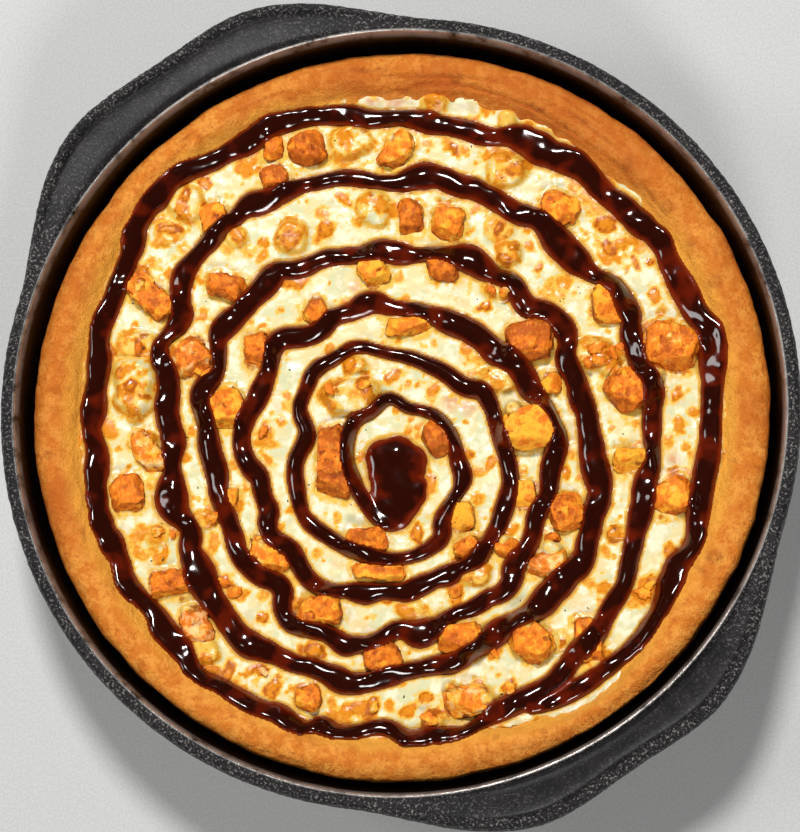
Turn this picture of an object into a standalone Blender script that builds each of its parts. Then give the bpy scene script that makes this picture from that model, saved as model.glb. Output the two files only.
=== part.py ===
"""A deep dish pizza baked in its round cast iron pan with two tab handles.

Lengths are millimetres and become metres when a mesh is made. The origin is the middle of the pan's
base, Z is up, and the handles point to the upper left and the lower right as seen from above.
"""

import math
import random

import bmesh
import bpy
from mathutils import Vector, noise

MILLIMETRE = 0.001
STATIONS = 72

RIM_RADIUS = 130.0
RIM_INNER_RADIUS = 124.5
PAN_HEIGHT = 46.0
BASE_RADIUS = 116.5
FLOOR_TOP = 4.5
FLOOR_RADIUS = 118.0
# Each handle's bearing, its reach over the rim, the hollow in its middle and its lean to one side.
HANDLES = ((124.5, 13.6, 2.3, 0.03), (303.0, 11.55, 2.8, -0.03))
HANDLE_HALF_WIDTH = 12.0
HANDLE_FADE = 28.0
HANDLE_TOP = 43.0
HANDLE_LIP_TOP = 45.3
HANDLE_UNDERSIDE = 35.0

SEAT_GAP = 0.35
CRUST_RADIUS = 121.0
CRUST_CREST = 38.0
CRUST_WELL_FLOOR = 24.0
CRUST_INNER_RADIUS = 106.0

CHEESE_LEVEL = 30.8
CHEESE_RINGS = STATIONS // 6
POCKET_GROWTH = 0.85

SAUCE_HEIGHT = 2.2
SAUCE_ROOT = 1.4

# The toppings are placed on a top view, slanted a little, whose grid step is about a third of a millimetre.
VIEW_ORIGIN = (398.7, 410.5)
VIEW_STEP = (0.328, 0.331)
VIEW_SKEW = 0.0042
VIEW_SLANT = (0.000031, -0.000059)

# The sauce, poured from the middle outwards: its middle line in the view and its width, row by row.
SAUCE_PATH = (
    (390, 522, 18), (361, 497, 14), (347, 462, 13), (351, 422, 16), (380, 404, 10), (406, 408, 11),
    (442, 420, 12), (456, 458, 16), (459, 490, 13), (440, 522, 18), (432, 546, 15), (404, 558, 12),
    (368, 555, 16), (333, 540, 14), (302, 516, 14), (293, 472, 17), (307, 438, 17), (298, 406, 14),
    (310, 374, 15), (341, 353, 13), (378, 350, 12), (418, 359, 14), (452, 377, 17), (482, 388, 18),
    (496, 424, 15), (508, 460, 16), (508, 496, 17), (499, 524, 17), (480, 558, 18), (450, 575, 22),
    (418, 586, 21), (386, 590, 15), (356, 592, 19), (319, 588, 16), (295, 555, 17), (270, 536, 17),
    (264, 500, 17), (252, 470, 20), (240, 436, 17), (255, 402, 18), (270, 366, 16), (280, 337, 21),
    (316, 333, 18), (344, 313, 16), (376, 300, 23), (414, 308, 15), (450, 322, 22), (486, 342, 22),
    (518, 366, 22), (538, 397, 16), (561, 432, 12), (550, 468, 21), (545, 502, 16), (534, 530, 18),
    (516, 560, 20), (506, 590, 18), (480, 604, 16), (444, 619, 14), (416, 635, 26), (388, 634, 16),
    (354, 644, 16), (324, 632, 16), (290, 624, 17), (284, 593, 20), (258, 576, 18), (236, 550, 18),
    (226, 514, 18), (217, 478, 22), (207, 440, 20), (200, 404, 21), (215, 377, 15), (216, 341, 16),
    (236, 315, 21), (266, 284, 25), (290, 270, 18), (326, 256, 18), (362, 254, 16), (396, 252, 23),
    (432, 252, 14), (468, 256, 28), (496, 277, 16), (520, 298, 22), (552, 312, 18), (568, 346, 18),
    (575, 376, 20), (586, 408, 22), (592, 444, 24), (600, 484, 24), (592, 518, 19), (586, 543, 20),
    (568, 574, 22), (542, 604, 25), (508, 624, 18), (482, 646, 14), (450, 664, 19), (414, 669, 16),
    (378, 680, 17), (342, 682, 23), (306, 666, 17), (270, 652, 19), (236, 634, 23), (213, 601, 23),
    (198, 567, 29), (191, 536, 21), (172, 509, 29), (172, 474, 17), (174, 440, 25), (166, 404, 23),
    (167, 369, 22), (162, 340, 15), (183, 315, 21), (180, 280, 22), (200, 250, 16), (224, 224, 16),
    (247, 204, 23), (280, 194, 18), (316, 182, 14), (352, 176, 18), (388, 182, 14), (420, 174, 26),
    (452, 182, 22), (484, 194, 18), (514, 212, 22), (543, 222, 19), (568, 251, 30), (595, 275, 16),
    (621, 295, 21), (629, 312, 17), (634, 345, 20), (648, 375, 18), (652, 408, 18), (652, 444, 16),
    (646, 477, 22), (641, 512, 22), (633, 546, 17), (626, 582, 17), (606, 615, 18), (582, 648, 22),
    (559, 677, 18), (525, 698, 20), (488, 718, 15), (454, 734, 16), (421, 740, 18), (391, 728, 16),
    (356, 732, 14), (324, 726, 18), (298, 728, 16), (267, 711, 18), (232, 694, 17), (201, 680, 16),
    (182, 649, 22), (158, 619, 21), (132, 592, 20), (120, 560, 18), (106, 535, 20), (96, 496, 19),
    (97, 458, 22), (90, 428, 16), (94, 392, 18), (99, 356, 21), (103, 320, 20), (118, 282, 18),
    (132, 248, 22), (141, 219, 16), (161, 192, 22), (188, 170, 18), (220, 157, 17), (251, 140, 22),
    (280, 123, 18), (320, 115, 18), (360, 117, 21), (400, 116, 16), (440, 124, 19), (480, 134, 21),
    (518, 135, 24), (552, 154, 26), (588, 172, 22), (621, 204, 21), (651, 230, 22), (670, 263, 20),
    (691, 301, 24), (712, 332, 25), (713, 369, 23), (712, 408, 20), (710, 447, 20), (702, 488, 22),
    (697, 528, 19), (686, 556, 19), (673, 583, 24), (658, 613, 16), (638, 642, 16), (610, 666, 16),
)
SAUCE_TAIL = ((620, 658, 15), (578, 688, 17), (554, 702, 14), (530, 709, 10),)
BLOB_OUTLINE = (
    (372, 440), (396, 433), (420, 445), (424, 462), (415, 476), (428, 486), (424, 504),
    (411, 518), (391, 532), (377, 517), (370, 496), (367, 468),
)

# Bare chunks of grilled chicken: place in the view, length, width, turn in degrees, rise over the cheese.
CHUNKS = (
    (306, 149, 38, 34, 10, 5.0),
    (273, 147, 19, 25, 0, 3.6),
    (273, 178, 28, 27, 20, 3.8),
    (214, 218, 27, 31, 15, 3.4),
    (228, 286, 40, 25, -15, 4.4),
    (150, 296, 56, 26, -45, 4.0),
    (314, 312, 25, 24, 35, 3.4),
    (257, 348, 25, 38, 5, 3.6),
    (397, 150, 40, 28, 65, 4.2),
    (411, 216, 23, 36, 0, 4.4),
    (447, 223, 36, 29, 78, 4.6),
    (442, 269, 29, 26, 5, 4.2),
    (373, 271, 34, 25, -60, 4.0),
    (408, 325, 45, 20, 6, 3.8),
    (530, 341, 48, 40, 12, 6.0),
    (551, 383, 21, 20, 0, 3.2),
    (560, 208, 38, 31, -25, 4.8),
    (607, 304, 34, 37, 8, 5.0),
    (671, 347, 54, 46, -12, 6.0),
    (628, 389, 40, 39, 28, 5.6),
    (632, 460, 37, 26, 5, 4.0),
    (673, 497, 40, 36, 20, 4.8),
    (531, 427, 52, 44, 8, 6.2),
    (527, 494, 23, 28, 0, 3.4),
    (566, 512, 33, 36, 12, 5.0),
    (552, 540, 17, 12, 0, 2.8),
    (549, 562, 41, 21, 12, 3.8),
    (332, 463, 35, 70, 2, 5.6),
    (436, 439, 38, 23, -60, 4.4),
    (462, 517, 25, 27, 5, 4.0),
    (467, 547, 25, 23, 12, 4.0),
    (366, 541, 38, 24, 8, 4.4),
    (378, 572, 56, 14, -4, 3.2),
    (190, 357, 40, 38, 30, 4.4),
    (225, 409, 40, 38, 48, 5.0),
    (147, 452, 47, 23, -50, 3.8),
    (127, 494, 37, 35, 8, 4.4),
    (231, 498, 17, 23, 0, 3.0),
    (168, 585, 40, 28, 5, 4.4),
    (196, 626, 30, 36, 20, 4.2),
    (269, 556, 44, 24, -40, 3.6),
    (318, 611, 46, 29, 8, 4.4),
    (307, 699, 27, 24, 15, 3.8),
    (460, 637, 44, 30, 6, 5.0),
    (382, 659, 38, 26, 12, 4.4),
    (530, 640, 44, 36, -42, 5.4),
    (468, 700, 48, 28, 12, 4.8),
    (585, 631, 22, 24, 0, 3.2),
    (593, 656, 22, 20, 0, 3.2),
    (508, 547, 24, 20, 0, 3.2),
)

# Chunks and blisters under the cheese: place in the view, length, width, turn in degrees, rise.
MOUNDS = (
    (186, 204, 34, 40, 0, 3.2), (237, 236, 20, 20, 0, 2.2), (291, 238, 30, 32, 0, 2.8),
    (352, 140, 40, 32, 0, 3.0), (436, 102, 26, 16, 0, 2.0), (508, 121, 16, 20, 0, 2.0),
    (508, 168, 40, 34, 0, 3.2), (373, 206, 38, 38, 0, 3.4), (508, 252, 24, 26, 0, 2.6),
    (497, 288, 34, 22, 0, 2.6), (498, 380, 36, 26, 0, 2.8), (598, 355, 46, 32, 0, 3.2),
    (348, 397, 56, 38, 0, 4.2), (135, 386, 50, 60, 0, 4.6), (138, 345, 46, 26, 0, 2.4),
    (205, 519, 24, 18, 0, 2.0), (205, 652, 28, 20, 0, 2.4), (314, 648, 20, 20, 0, 1.8),
    (432, 720, 22, 20, 0, 2.2), (410, 610, 32, 18, 0, 1.8), (474, 574, 36, 22, 0, 2.4),
    (616, 534, 24, 14, 0, 1.8), (354, 365, 26, 16, 0, 2.0), (500, 228, 30, 26, 0, 1.6),
    (170, 232, 30, 24, 0, 1.6), (155, 535, 30, 26, 0, 1.6), (560, 640, 24, 24, 0, 1.4),
)


def on_pan(view_x, view_y):
    """A place in the top view, in millimetres from the pan's middle."""
    across, up = view_x - VIEW_ORIGIN[0], VIEW_ORIGIN[1] - view_y
    nearness = 1.0 + VIEW_SLANT[0] * across + VIEW_SLANT[1] * up
    return VIEW_STEP[0] * across / nearness, (VIEW_STEP[1] * up - VIEW_SKEW * across) / nearness


def degrees_apart(a, b):
    return abs((a - b + 180.0) % 360.0 - 180.0)


def hump(distance, reach):
    """1 at no distance, falling smoothly to 0 at reach."""
    if distance >= reach:
        return 0.0
    return 0.5 + 0.5 * math.cos(math.pi * distance / reach)


def ring(radius, height, stations=STATIONS):
    """Points round the axis, where radius and height are numbers or functions of the bearing in degrees."""
    points = []
    for station in range(stations):
        bearing = 360.0 * station / stations
        r = radius(bearing) if callable(radius) else radius
        z = height(bearing) if callable(height) else height
        angle = math.radians(bearing)
        points.append((r * math.cos(angle), r * math.sin(angle), z))
    return points


def material(name, colour, roughness, metallic=0.0):
    """A Principled material in the part's own colour."""
    made = bpy.data.materials.new(name)
    made.use_nodes = True
    shader = made.node_tree.nodes["Principled BSDF"]
    shader.inputs["Base Color"].default_value = (*colour, 1.0)
    shader.inputs["Roughness"].default_value = roughness
    shader.inputs["Metallic"].default_value = metallic
    return made


def object_from(work, name, surface=None):
    """The object that a bmesh in millimetres makes, with its faces turned outwards."""
    bmesh.ops.scale(work, vec=(MILLIMETRE, MILLIMETRE, MILLIMETRE), verts=work.verts)
    bmesh.ops.recalc_face_normals(work, faces=work.faces)
    mesh = bpy.data.meshes.new(name)
    work.to_mesh(mesh)
    work.free()
    if surface:
        mesh.materials.append(surface)
    made = bpy.data.objects.new(name, mesh)
    bpy.context.scene.collection.objects.link(made)
    return made


def lofted(name, rings, surface=None):
    """One closed surface that bridges ring to ring, with a flat face across the first and the last."""
    work = bmesh.new()
    loops = []
    for points in rings:
        corners = [work.verts.new(point) for point in points]
        edges = [work.edges.new((corner, corners[i - 1])) for i, corner in enumerate(corners)]
        if loops:
            bmesh.ops.bridge_loops(work, edges=loops[-1][1] + edges)
        loops.append((corners, edges))
    for corners, _ in (loops[0], loops[-1]):
        work.faces.new(corners)
    return object_from(work, name, surface)


def handle_share(bearing):
    """1 along a handle, 0 on the plain rim, blending at the handle's shoulders."""
    off_axis = min(degrees_apart(bearing, axis) for axis, *_ in HANDLES)
    return hump(max(0.0, off_axis - HANDLE_HALF_WIDTH), HANDLE_FADE)


def rim_outline(bearing):
    """The pan's outer radius: two tabs whose outer edge is slightly hollow in the middle."""
    radius = RIM_RADIUS
    for axis, reach, hollow, lean in HANDLES:
        off_axis = (bearing - axis + 180.0) % 360.0 - 180.0
        share = hump(max(0.0, abs(off_axis) - HANDLE_HALF_WIDTH), HANDLE_FADE)
        radius += (reach + lean * off_axis) * share - hollow * hump(abs(off_axis), HANDLE_HALF_WIDTH + 2.0)
    return radius


def make_pan():
    """The pan in one casting: base, drafted wall, rim bead and both tab handles."""

    def lip(inset):
        """A ring of the outer lip, so far in from the outline along a handle."""
        return lambda plain_radius, bearing, share: (
            rim_outline(bearing) - (RIM_RADIUS - plain_radius) * (1 - share) - inset * share
        )

    def blended(plain, handle_radius, handle_height):
        """A ring that is the plain bead's between the handles and the handle's along them."""

        def radius(bearing):
            share = handle_share(bearing)
            if callable(handle_radius):
                return handle_radius(plain[0], bearing, share)
            return plain[0] * (1 - share) + handle_radius * share

        def height(bearing):
            share = handle_share(bearing)
            return plain[1] * (1 - share) + handle_height * share

        return ring(radius, height)

    rings = [
        ring(BASE_RADIUS - 3.0, 0.0),
        ring(BASE_RADIUS, 2.5),
        ring(124.6, 33.0),
        blended((126.4, 35.5), lip(4.0), HANDLE_UNDERSIDE),
        blended((129.0, 37.0), lip(1.2), HANDLE_UNDERSIDE + 1.0),
        blended((RIM_RADIUS, 39.2), lip(0.0), HANDLE_UNDERSIDE + 3.2),
        blended((RIM_RADIUS, 43.0), lip(0.0), HANDLE_LIP_TOP - 2.6),
        blended((129.2, 45.2), lip(1.0), HANDLE_LIP_TOP - 0.6),
        blended((128.0, PAN_HEIGHT), lip(2.6), HANDLE_LIP_TOP),
        blended((127.2, PAN_HEIGHT), lip(4.2), HANDLE_LIP_TOP - 0.9),
        blended((126.8, PAN_HEIGHT), lip(5.4), HANDLE_TOP + 0.2),
        blended((126.4, PAN_HEIGHT), 129.5, HANDLE_TOP),
        blended((126.1, PAN_HEIGHT), 127.4, HANDLE_TOP + 0.8),
        blended((125.7, PAN_HEIGHT), 126.0, PAN_HEIGHT - 0.6),
        ring(RIM_INNER_RADIUS, PAN_HEIGHT - 1.0),
        ring(FLOOR_RADIUS, 9.0),
        ring(FLOOR_RADIUS - 3.5, FLOOR_TOP),
    ]
    return lofted("pan", rings, material("iron", (0.018, 0.017, 0.018), 0.5, 0.6))


def crust_inner(bearing):
    """Where the crust meets the cheese: widest at the upper left and the lower right."""
    angle = math.radians(bearing)
    ragged = noise.noise(Vector((2.4 * math.cos(angle), 2.4 * math.sin(angle), 3.1)))
    radius = CRUST_INNER_RADIUS + 1.3 * ragged
    radius += 3.2 * hump(degrees_apart(bearing, 135.0), 45.0)
    radius += 1.6 * hump(degrees_apart(bearing, 240.0), 60.0)
    radius += 7.0 * hump(degrees_apart(bearing, 304.0), 26.0)
    return radius


def crust_swell(bearing, seed):
    angle = math.radians(bearing)
    slow = noise.noise(Vector((1.7 * math.cos(angle), 1.7 * math.sin(angle), seed)))
    quick = noise.noise(Vector((6.0 * math.cos(angle), 6.0 * math.sin(angle), seed + 5.0)))
    return slow + 0.6 * quick


def make_crust():
    """The solid body of dough: a puffed rim round the well that holds the cheese."""

    def across(share):
        """A radius part of the way from the cheese's edge to the crust's outer edge."""
        return lambda b: crust_inner(b) + share * (CRUST_RADIUS - crust_inner(b)) + 0.2 * crust_swell(b, 9.0)

    def level(height, swell):
        return lambda b: height + swell * crust_swell(b, 1.0)

    rings = [
        ring(FLOOR_RADIUS - 5.0, FLOOR_TOP + SEAT_GAP),
        ring(FLOOR_RADIUS - 1.2, 9.4),
        ring(lambda b: CRUST_RADIUS - 1.0 - 0.3 * abs(crust_swell(b, 4.0)), 24.0),
        ring(lambda b: CRUST_RADIUS - 0.4 * abs(crust_swell(b, 4.0)), level(31.0, 0.6)),
        ring(across(0.90), level(35.0, 0.8)),
        ring(across(0.68), level(37.4, 1.0)),
        ring(across(0.44), level(CRUST_CREST, 1.1)),
        ring(across(0.20), level(36.2, 0.9)),
        ring(crust_inner, level(32.6, 0.5)),
        ring(crust_inner, CRUST_WELL_FLOOR),
    ]
    return lofted("crust", rings, material("baked_dough", (0.56, 0.25, 0.07), 0.5))


def cheese_height(x, y):
    """The cheese's top surface, with a mound over each covered chunk."""
    height = CHEESE_LEVEL
    height += 0.8 * noise.noise(Vector((x / 30.0, y / 30.0, 2.0)))
    height += 0.5 * noise.noise(Vector((x / 11.0, y / 11.0, 7.0)))
    raised = 0.0
    for view_x, view_y, length, width, _, rise in MOUNDS:
        mound_x, mound_y = on_pan(view_x, view_y)
        across = (x - mound_x) / (length * VIEW_STEP[0])
        along = (y - mound_y) / (width * VIEW_STEP[1])
        raised = max(raised, rise * hump(math.hypot(across, along), 0.85))
    return height + raised


def make_cheese():
    """The layer of cheese, its top meshed in rings of six more points each."""
    work = bmesh.new()
    bottom = [work.verts.new(spot) for spot in ring(lambda b: crust_inner(b) - SEAT_GAP, CRUST_WELL_FLOOR + SEAT_GAP)]
    work.faces.new(bottom)
    rings = []
    for step in range(CHEESE_RINGS + 1):
        count = max(1, 6 * step)
        rings.append([])
        for i in range(count):
            bearing = 360.0 * i / count
            radius = (crust_inner(bearing) - SEAT_GAP) * step / CHEESE_RINGS
            x = radius * math.cos(math.radians(bearing))
            y = radius * math.sin(math.radians(bearing))
            rings[-1].append(work.verts.new((x, y, cheese_height(x, y))))
    for step in range(CHEESE_RINGS):
        inner, outer = rings[step], rings[step + 1]
        for sector in range(6):
            for i in range(step + 1):
                start = outer[sector * (step + 1) + i]
                end = outer[(sector * (step + 1) + i + 1) % len(outer)]
                near = inner[(sector * step + i) % len(inner)]
                work.faces.new((start, end, near))
                if i < step:
                    work.faces.new((near, end, inner[(sector * step + i + 1) % len(inner)]))
    for i in range(STATIONS):
        work.faces.new((bottom[i - 1], bottom[i], rings[-1][i], rings[-1][i - 1]))
    return object_from(work, "cheese", material("cheese", (0.80, 0.68, 0.36), 0.4))


def inside_crust(spot, margin):
    """The spot itself, or pulled in until it clears the crust by the margin."""
    bearing = math.degrees(math.atan2(spot.y, spot.x)) % 360.0
    most = crust_inner(bearing) - margin
    return spot * min(1.0, most / max(spot.length, 1.0))


def make_sauce_strand(name, readings, surface, lift=0.0):
    """A thick domed bead of sauce along the places read in the view, rooted in the cheese."""
    spots = [Vector(on_pan(view_x, view_y)) for view_x, view_y, _ in readings]
    work = bmesh.new()
    sections = []
    for index, (spot, (_, _, view_width)) in enumerate(zip(spots, readings)):
        ahead, behind = spots[min(index + 1, len(spots) - 1)], spots[max(index - 1, 0)]
        way = (ahead - behind).normalized()
        side = Vector((-way.y, way.x))
        width = view_width * VIEW_STEP[0]
        middle = inside_crust(spot, 0.62 * width + 0.7)
        ground = cheese_height(middle.x, middle.y)
        taper = 0.8 if index in (0, len(spots) - 1) else 1.0
        sections.append([])
        for offset, height in (
            (-0.62, -SAUCE_ROOT),
            (-0.36, 0.65 * SAUCE_HEIGHT),
            (0.0, SAUCE_HEIGHT),
            (0.36, 0.65 * SAUCE_HEIGHT),
            (0.62, -SAUCE_ROOT),
        ):
            corner = middle + side * (offset * width * taper)
            sections[-1].append(work.verts.new((corner.x, corner.y, ground + height * taper + lift)))
    for low, high in zip(sections, sections[1:]):
        for i in range(len(low)):
            work.faces.new((low[i - 1], low[i], high[i], high[i - 1]))
    work.faces.new(sections[0])
    work.faces.new(sections[-1])
    return object_from(work, name, surface)


def make_sauce_blob(surface):
    """The pool of sauce in the middle, where the spiral begins."""
    outline = [on_pan(*spot) for spot in BLOB_OUTLINE]
    middle_x = sum(x for x, _ in outline) / len(outline)
    middle_y = sum(y for _, y in outline) / len(outline)
    ground = cheese_height(middle_x, middle_y)
    rings = []
    for share, height in ((1.04, -2.0), (0.86, 1.3), (0.5, 2.3)):
        rings.append(
            [(middle_x + share * (x - middle_x), middle_y + share * (y - middle_y), ground + height)
             for x, y in outline]
        )
    return lofted("blob", rings, surface)


def combined(target, tools, operation, solver):
    """One Boolean with a collection of tools, applied, with the tools then removed."""
    group = bpy.data.collections.new("tools")
    bpy.context.scene.collection.children.link(group)
    for tool in tools:
        bpy.context.scene.collection.objects.unlink(tool)
        group.objects.link(tool)
    step = target.modifiers.new(operation.lower(), "BOOLEAN")
    step.operation = operation
    step.operand_type = "COLLECTION"
    step.collection = group
    step.solver = solver
    bpy.context.view_layer.objects.active = target
    bpy.ops.object.modifier_apply(modifier=step.name)
    for tool in tools:
        bpy.data.objects.remove(tool)
    bpy.data.collections.remove(group)


def drop_scraps(target):
    """Keeps only the largest connected part of a mesh."""
    work = bmesh.new()
    work.from_mesh(target.data)
    work.verts.ensure_lookup_table()
    unseen = set(work.verts)
    islands = []
    while unseen:
        queue = [unseen.pop()]
        island = set(queue)
        while queue:
            for edge in queue.pop().link_edges:
                for vert in edge.verts:
                    if vert in unseen:
                        unseen.discard(vert)
                        island.add(vert)
                        queue.append(vert)
        islands.append(island)
    largest = max(islands, key=len)
    loose = [vert for island in islands if island is not largest for vert in island]
    bmesh.ops.delete(work, geom=loose, context="VERTS")
    work.to_mesh(target.data)
    work.free()


def chunk_points(length, width, rise, draw, depth=5.0):
    """The corners of one cut cube of chicken, chamfered and uneven, about its own middle at the cheese's level."""
    half_length, half_width = 0.5 * length, 0.5 * width
    chamfer = 0.20 * min(length, width)
    skew = [draw.uniform(-0.10, 0.10) for _ in range(4)]
    points = []
    for height, inset, cut in ((-depth, 0.16, 0.0), (0.45 * rise, 0.0, chamfer), (rise, 0.17, chamfer)):
        for corner, (x_sign, y_sign) in enumerate(((1, 1), (-1, 1), (-1, -1), (1, -1))):
            for cut_x, cut_y in ((cut, 0.0), (0.0, cut)) if cut else ((0.0, 0.0),):
                x = (half_length * (1 - inset) - cut_x) * (1.0 + skew[corner])
                y = (half_width * (1 - inset) - cut_y) * (1.0 - skew[(corner + 1) % 4])
                lift = draw.uniform(-0.09, 0.09) * rise if cut else 0.0
                lean = draw.uniform(-0.025, 0.025) * length if cut else 0.0
                points.append(Vector((x_sign * x + lean, y_sign * y, height + lift)))
    return points


def placed(points, x, y, ground, turn):
    cosine, sine = math.cos(math.radians(turn)), math.sin(math.radians(turn))
    return [
        Vector((x + p.x * cosine - p.y * sine, y + p.x * sine + p.y * cosine, ground + p.z))
        for p in points
    ]


def hull_object(name, points, surface=None):
    """The tight convex skin of some points."""
    work = bmesh.new()
    for point in points:
        work.verts.new(point)
    bmesh.ops.convex_hull(work, input=work.verts)
    loose = [vert for vert in work.verts if not vert.link_faces]
    bmesh.ops.delete(work, geom=loose, context="VERTS")
    return object_from(work, name, surface)


def make_chunks():
    """Every bare chunk as its own solid, and the cutter that leaves a pocket round each."""
    chicken = material("grilled_chicken", (0.70, 0.27, 0.04), 0.5)
    cutters = []
    for number, (view_x, view_y, length, width, turn, rise) in enumerate(CHUNKS, 1):
        draw = random.Random(400 + number)
        x, y = on_pan(view_x, view_y)
        corners = chunk_points(length * VIEW_STEP[0], width * VIEW_STEP[1], rise, draw)
        ground = CHEESE_LEVEL
        hull_object(f"chunk_{number:02d}", placed(corners, x, y, ground, turn), chicken)
        pocket = []
        for corner in corners:
            outward = Vector((corner.x, corner.y)).normalized() * POCKET_GROWTH
            for height in (-5.0 - SEAT_GAP, 30.0):
                pocket.append(Vector((corner.x + outward.x, corner.y + outward.y, height)))
        cutters.append(hull_object(f"pocket_{number:02d}", placed(pocket, x, y, ground, turn)))
    return cutters


def main():
    for old in list(bpy.data.objects):
        bpy.data.objects.remove(old)
    make_pan()
    make_crust()
    cheese = make_cheese()
    sauce = material("thick_sauce", (0.03, 0.006, 0.004), 0.15)
    strands = [
        make_sauce_blob(sauce),
        make_sauce_strand("strand", SAUCE_PATH, sauce),
        make_sauce_strand("tail", SAUCE_TAIL, sauce, lift=-0.15),
    ]
    combined(cheese, strands, "UNION", "EXACT")
    combined(cheese, make_chunks(), "DIFFERENCE", "EXACT")
    drop_scraps(cheese)


main()
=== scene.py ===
"""A deep dish pizza in its cast iron pan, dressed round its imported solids.

Places and lengths in this file are millimetres, and become metres where a mesh is made.
"""

import math

import bmesh
import bpy
import numpy as np
from mathutils import Matrix, Vector, noise
from mathutils.bvhtree import BVHTree


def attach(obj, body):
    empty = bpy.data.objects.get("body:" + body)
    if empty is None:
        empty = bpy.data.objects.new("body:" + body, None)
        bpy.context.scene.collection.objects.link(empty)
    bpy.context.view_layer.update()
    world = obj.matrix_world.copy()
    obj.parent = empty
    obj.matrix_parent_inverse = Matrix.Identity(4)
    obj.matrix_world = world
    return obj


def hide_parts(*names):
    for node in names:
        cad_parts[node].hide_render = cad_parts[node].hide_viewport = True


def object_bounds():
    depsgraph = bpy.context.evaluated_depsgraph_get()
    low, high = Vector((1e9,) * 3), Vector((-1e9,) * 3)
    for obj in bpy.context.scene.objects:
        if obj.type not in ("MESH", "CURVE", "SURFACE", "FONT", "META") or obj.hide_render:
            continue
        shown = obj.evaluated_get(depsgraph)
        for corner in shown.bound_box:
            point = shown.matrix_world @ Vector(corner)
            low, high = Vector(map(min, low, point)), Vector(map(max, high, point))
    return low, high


bl_info = {
    "name": "Deep Dish Pizza",
    "version": (1, 0, 0),
    "blender": (4, 5, 0),
    "location": "3D View > Sidebar > Pizza",
    "description": "Dresses the pizza and its pan",
    "category": "Add Mesh",
}

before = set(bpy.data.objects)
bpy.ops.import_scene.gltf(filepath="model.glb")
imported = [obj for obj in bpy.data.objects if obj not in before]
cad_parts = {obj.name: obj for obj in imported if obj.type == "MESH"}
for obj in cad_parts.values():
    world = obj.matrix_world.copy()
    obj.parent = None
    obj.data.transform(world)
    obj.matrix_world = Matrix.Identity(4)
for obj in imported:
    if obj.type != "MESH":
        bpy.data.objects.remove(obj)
CAD_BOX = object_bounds()

METRES = 0.001
CHUNK_NODES = sorted(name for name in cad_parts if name.startswith("chunk"))
CHUNK_PIECES = [f"chicken_{number + 1:02d}" for number in range(len(CHUNK_NODES))]

# Heights over the table: the cheese between its mounds, the bottom of its skirt under the crust's edge,
# and a height over everything, from which points are dropped onto the pieces.
CHEESE_LEVEL = 30.8
CHEESE_SKIRT = 27.0
DROP_FROM = 60.0

# Sides of the pizza that differ from the rest: the bearing of the middle and the reach each way, in degrees.
CREAMY_SIDE = (304.0, 26.0)
# On the front side the crust is fuller, and its colour is painted less toasted, a painted light against the
# shade on its outer slope.
FULLER_PAINTED_LIGHT_SIDE = (294.0, 80.0)
CREASED_SIDE = (80.0, 55.0)
DRY_SIDE = (72.0, 60.0)
TOASTED_SIDES = (((62.0, 48.0), 0.55), ((178.0, 40.0), 0.25))

# Where the cheese meets the crust: its usual radius, how ragged it is, and the sides where it goes further.
CHEESE_RADIUS = 106.0
CHEESE_RAGGED = 1.3
CHEESE_REACHES = (((135.0, 45.0), 3.2), ((240.0, 60.0), 1.6), (CREAMY_SIDE, 7.0))

# The toppings are placed on a top view, slanted a little, whose grid step is about a third of a millimetre.
VIEW_ORIGIN = (398.7, 410.5)
VIEW_STEP = (0.328, 0.331)
VIEW_SKEW = 0.0042
VIEW_SLANT = (0.000031, -0.000059)

# Millimetres for a step of radius, of round places on the cheese and of its browned spots.
ROUND_STEP = 0.33
BROWNED_STEP = 0.34

# Each handle's bearing, its reach over the rim, the hollow in its middle and its lean to one side.
HANDLES = ((124.5, 13.6, 2.3, 0.03), (303.0, 11.55, 2.8, -0.03))
HANDLE_HALF_WIDTH = 12.0
HANDLE_FADE = 28.0

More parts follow.
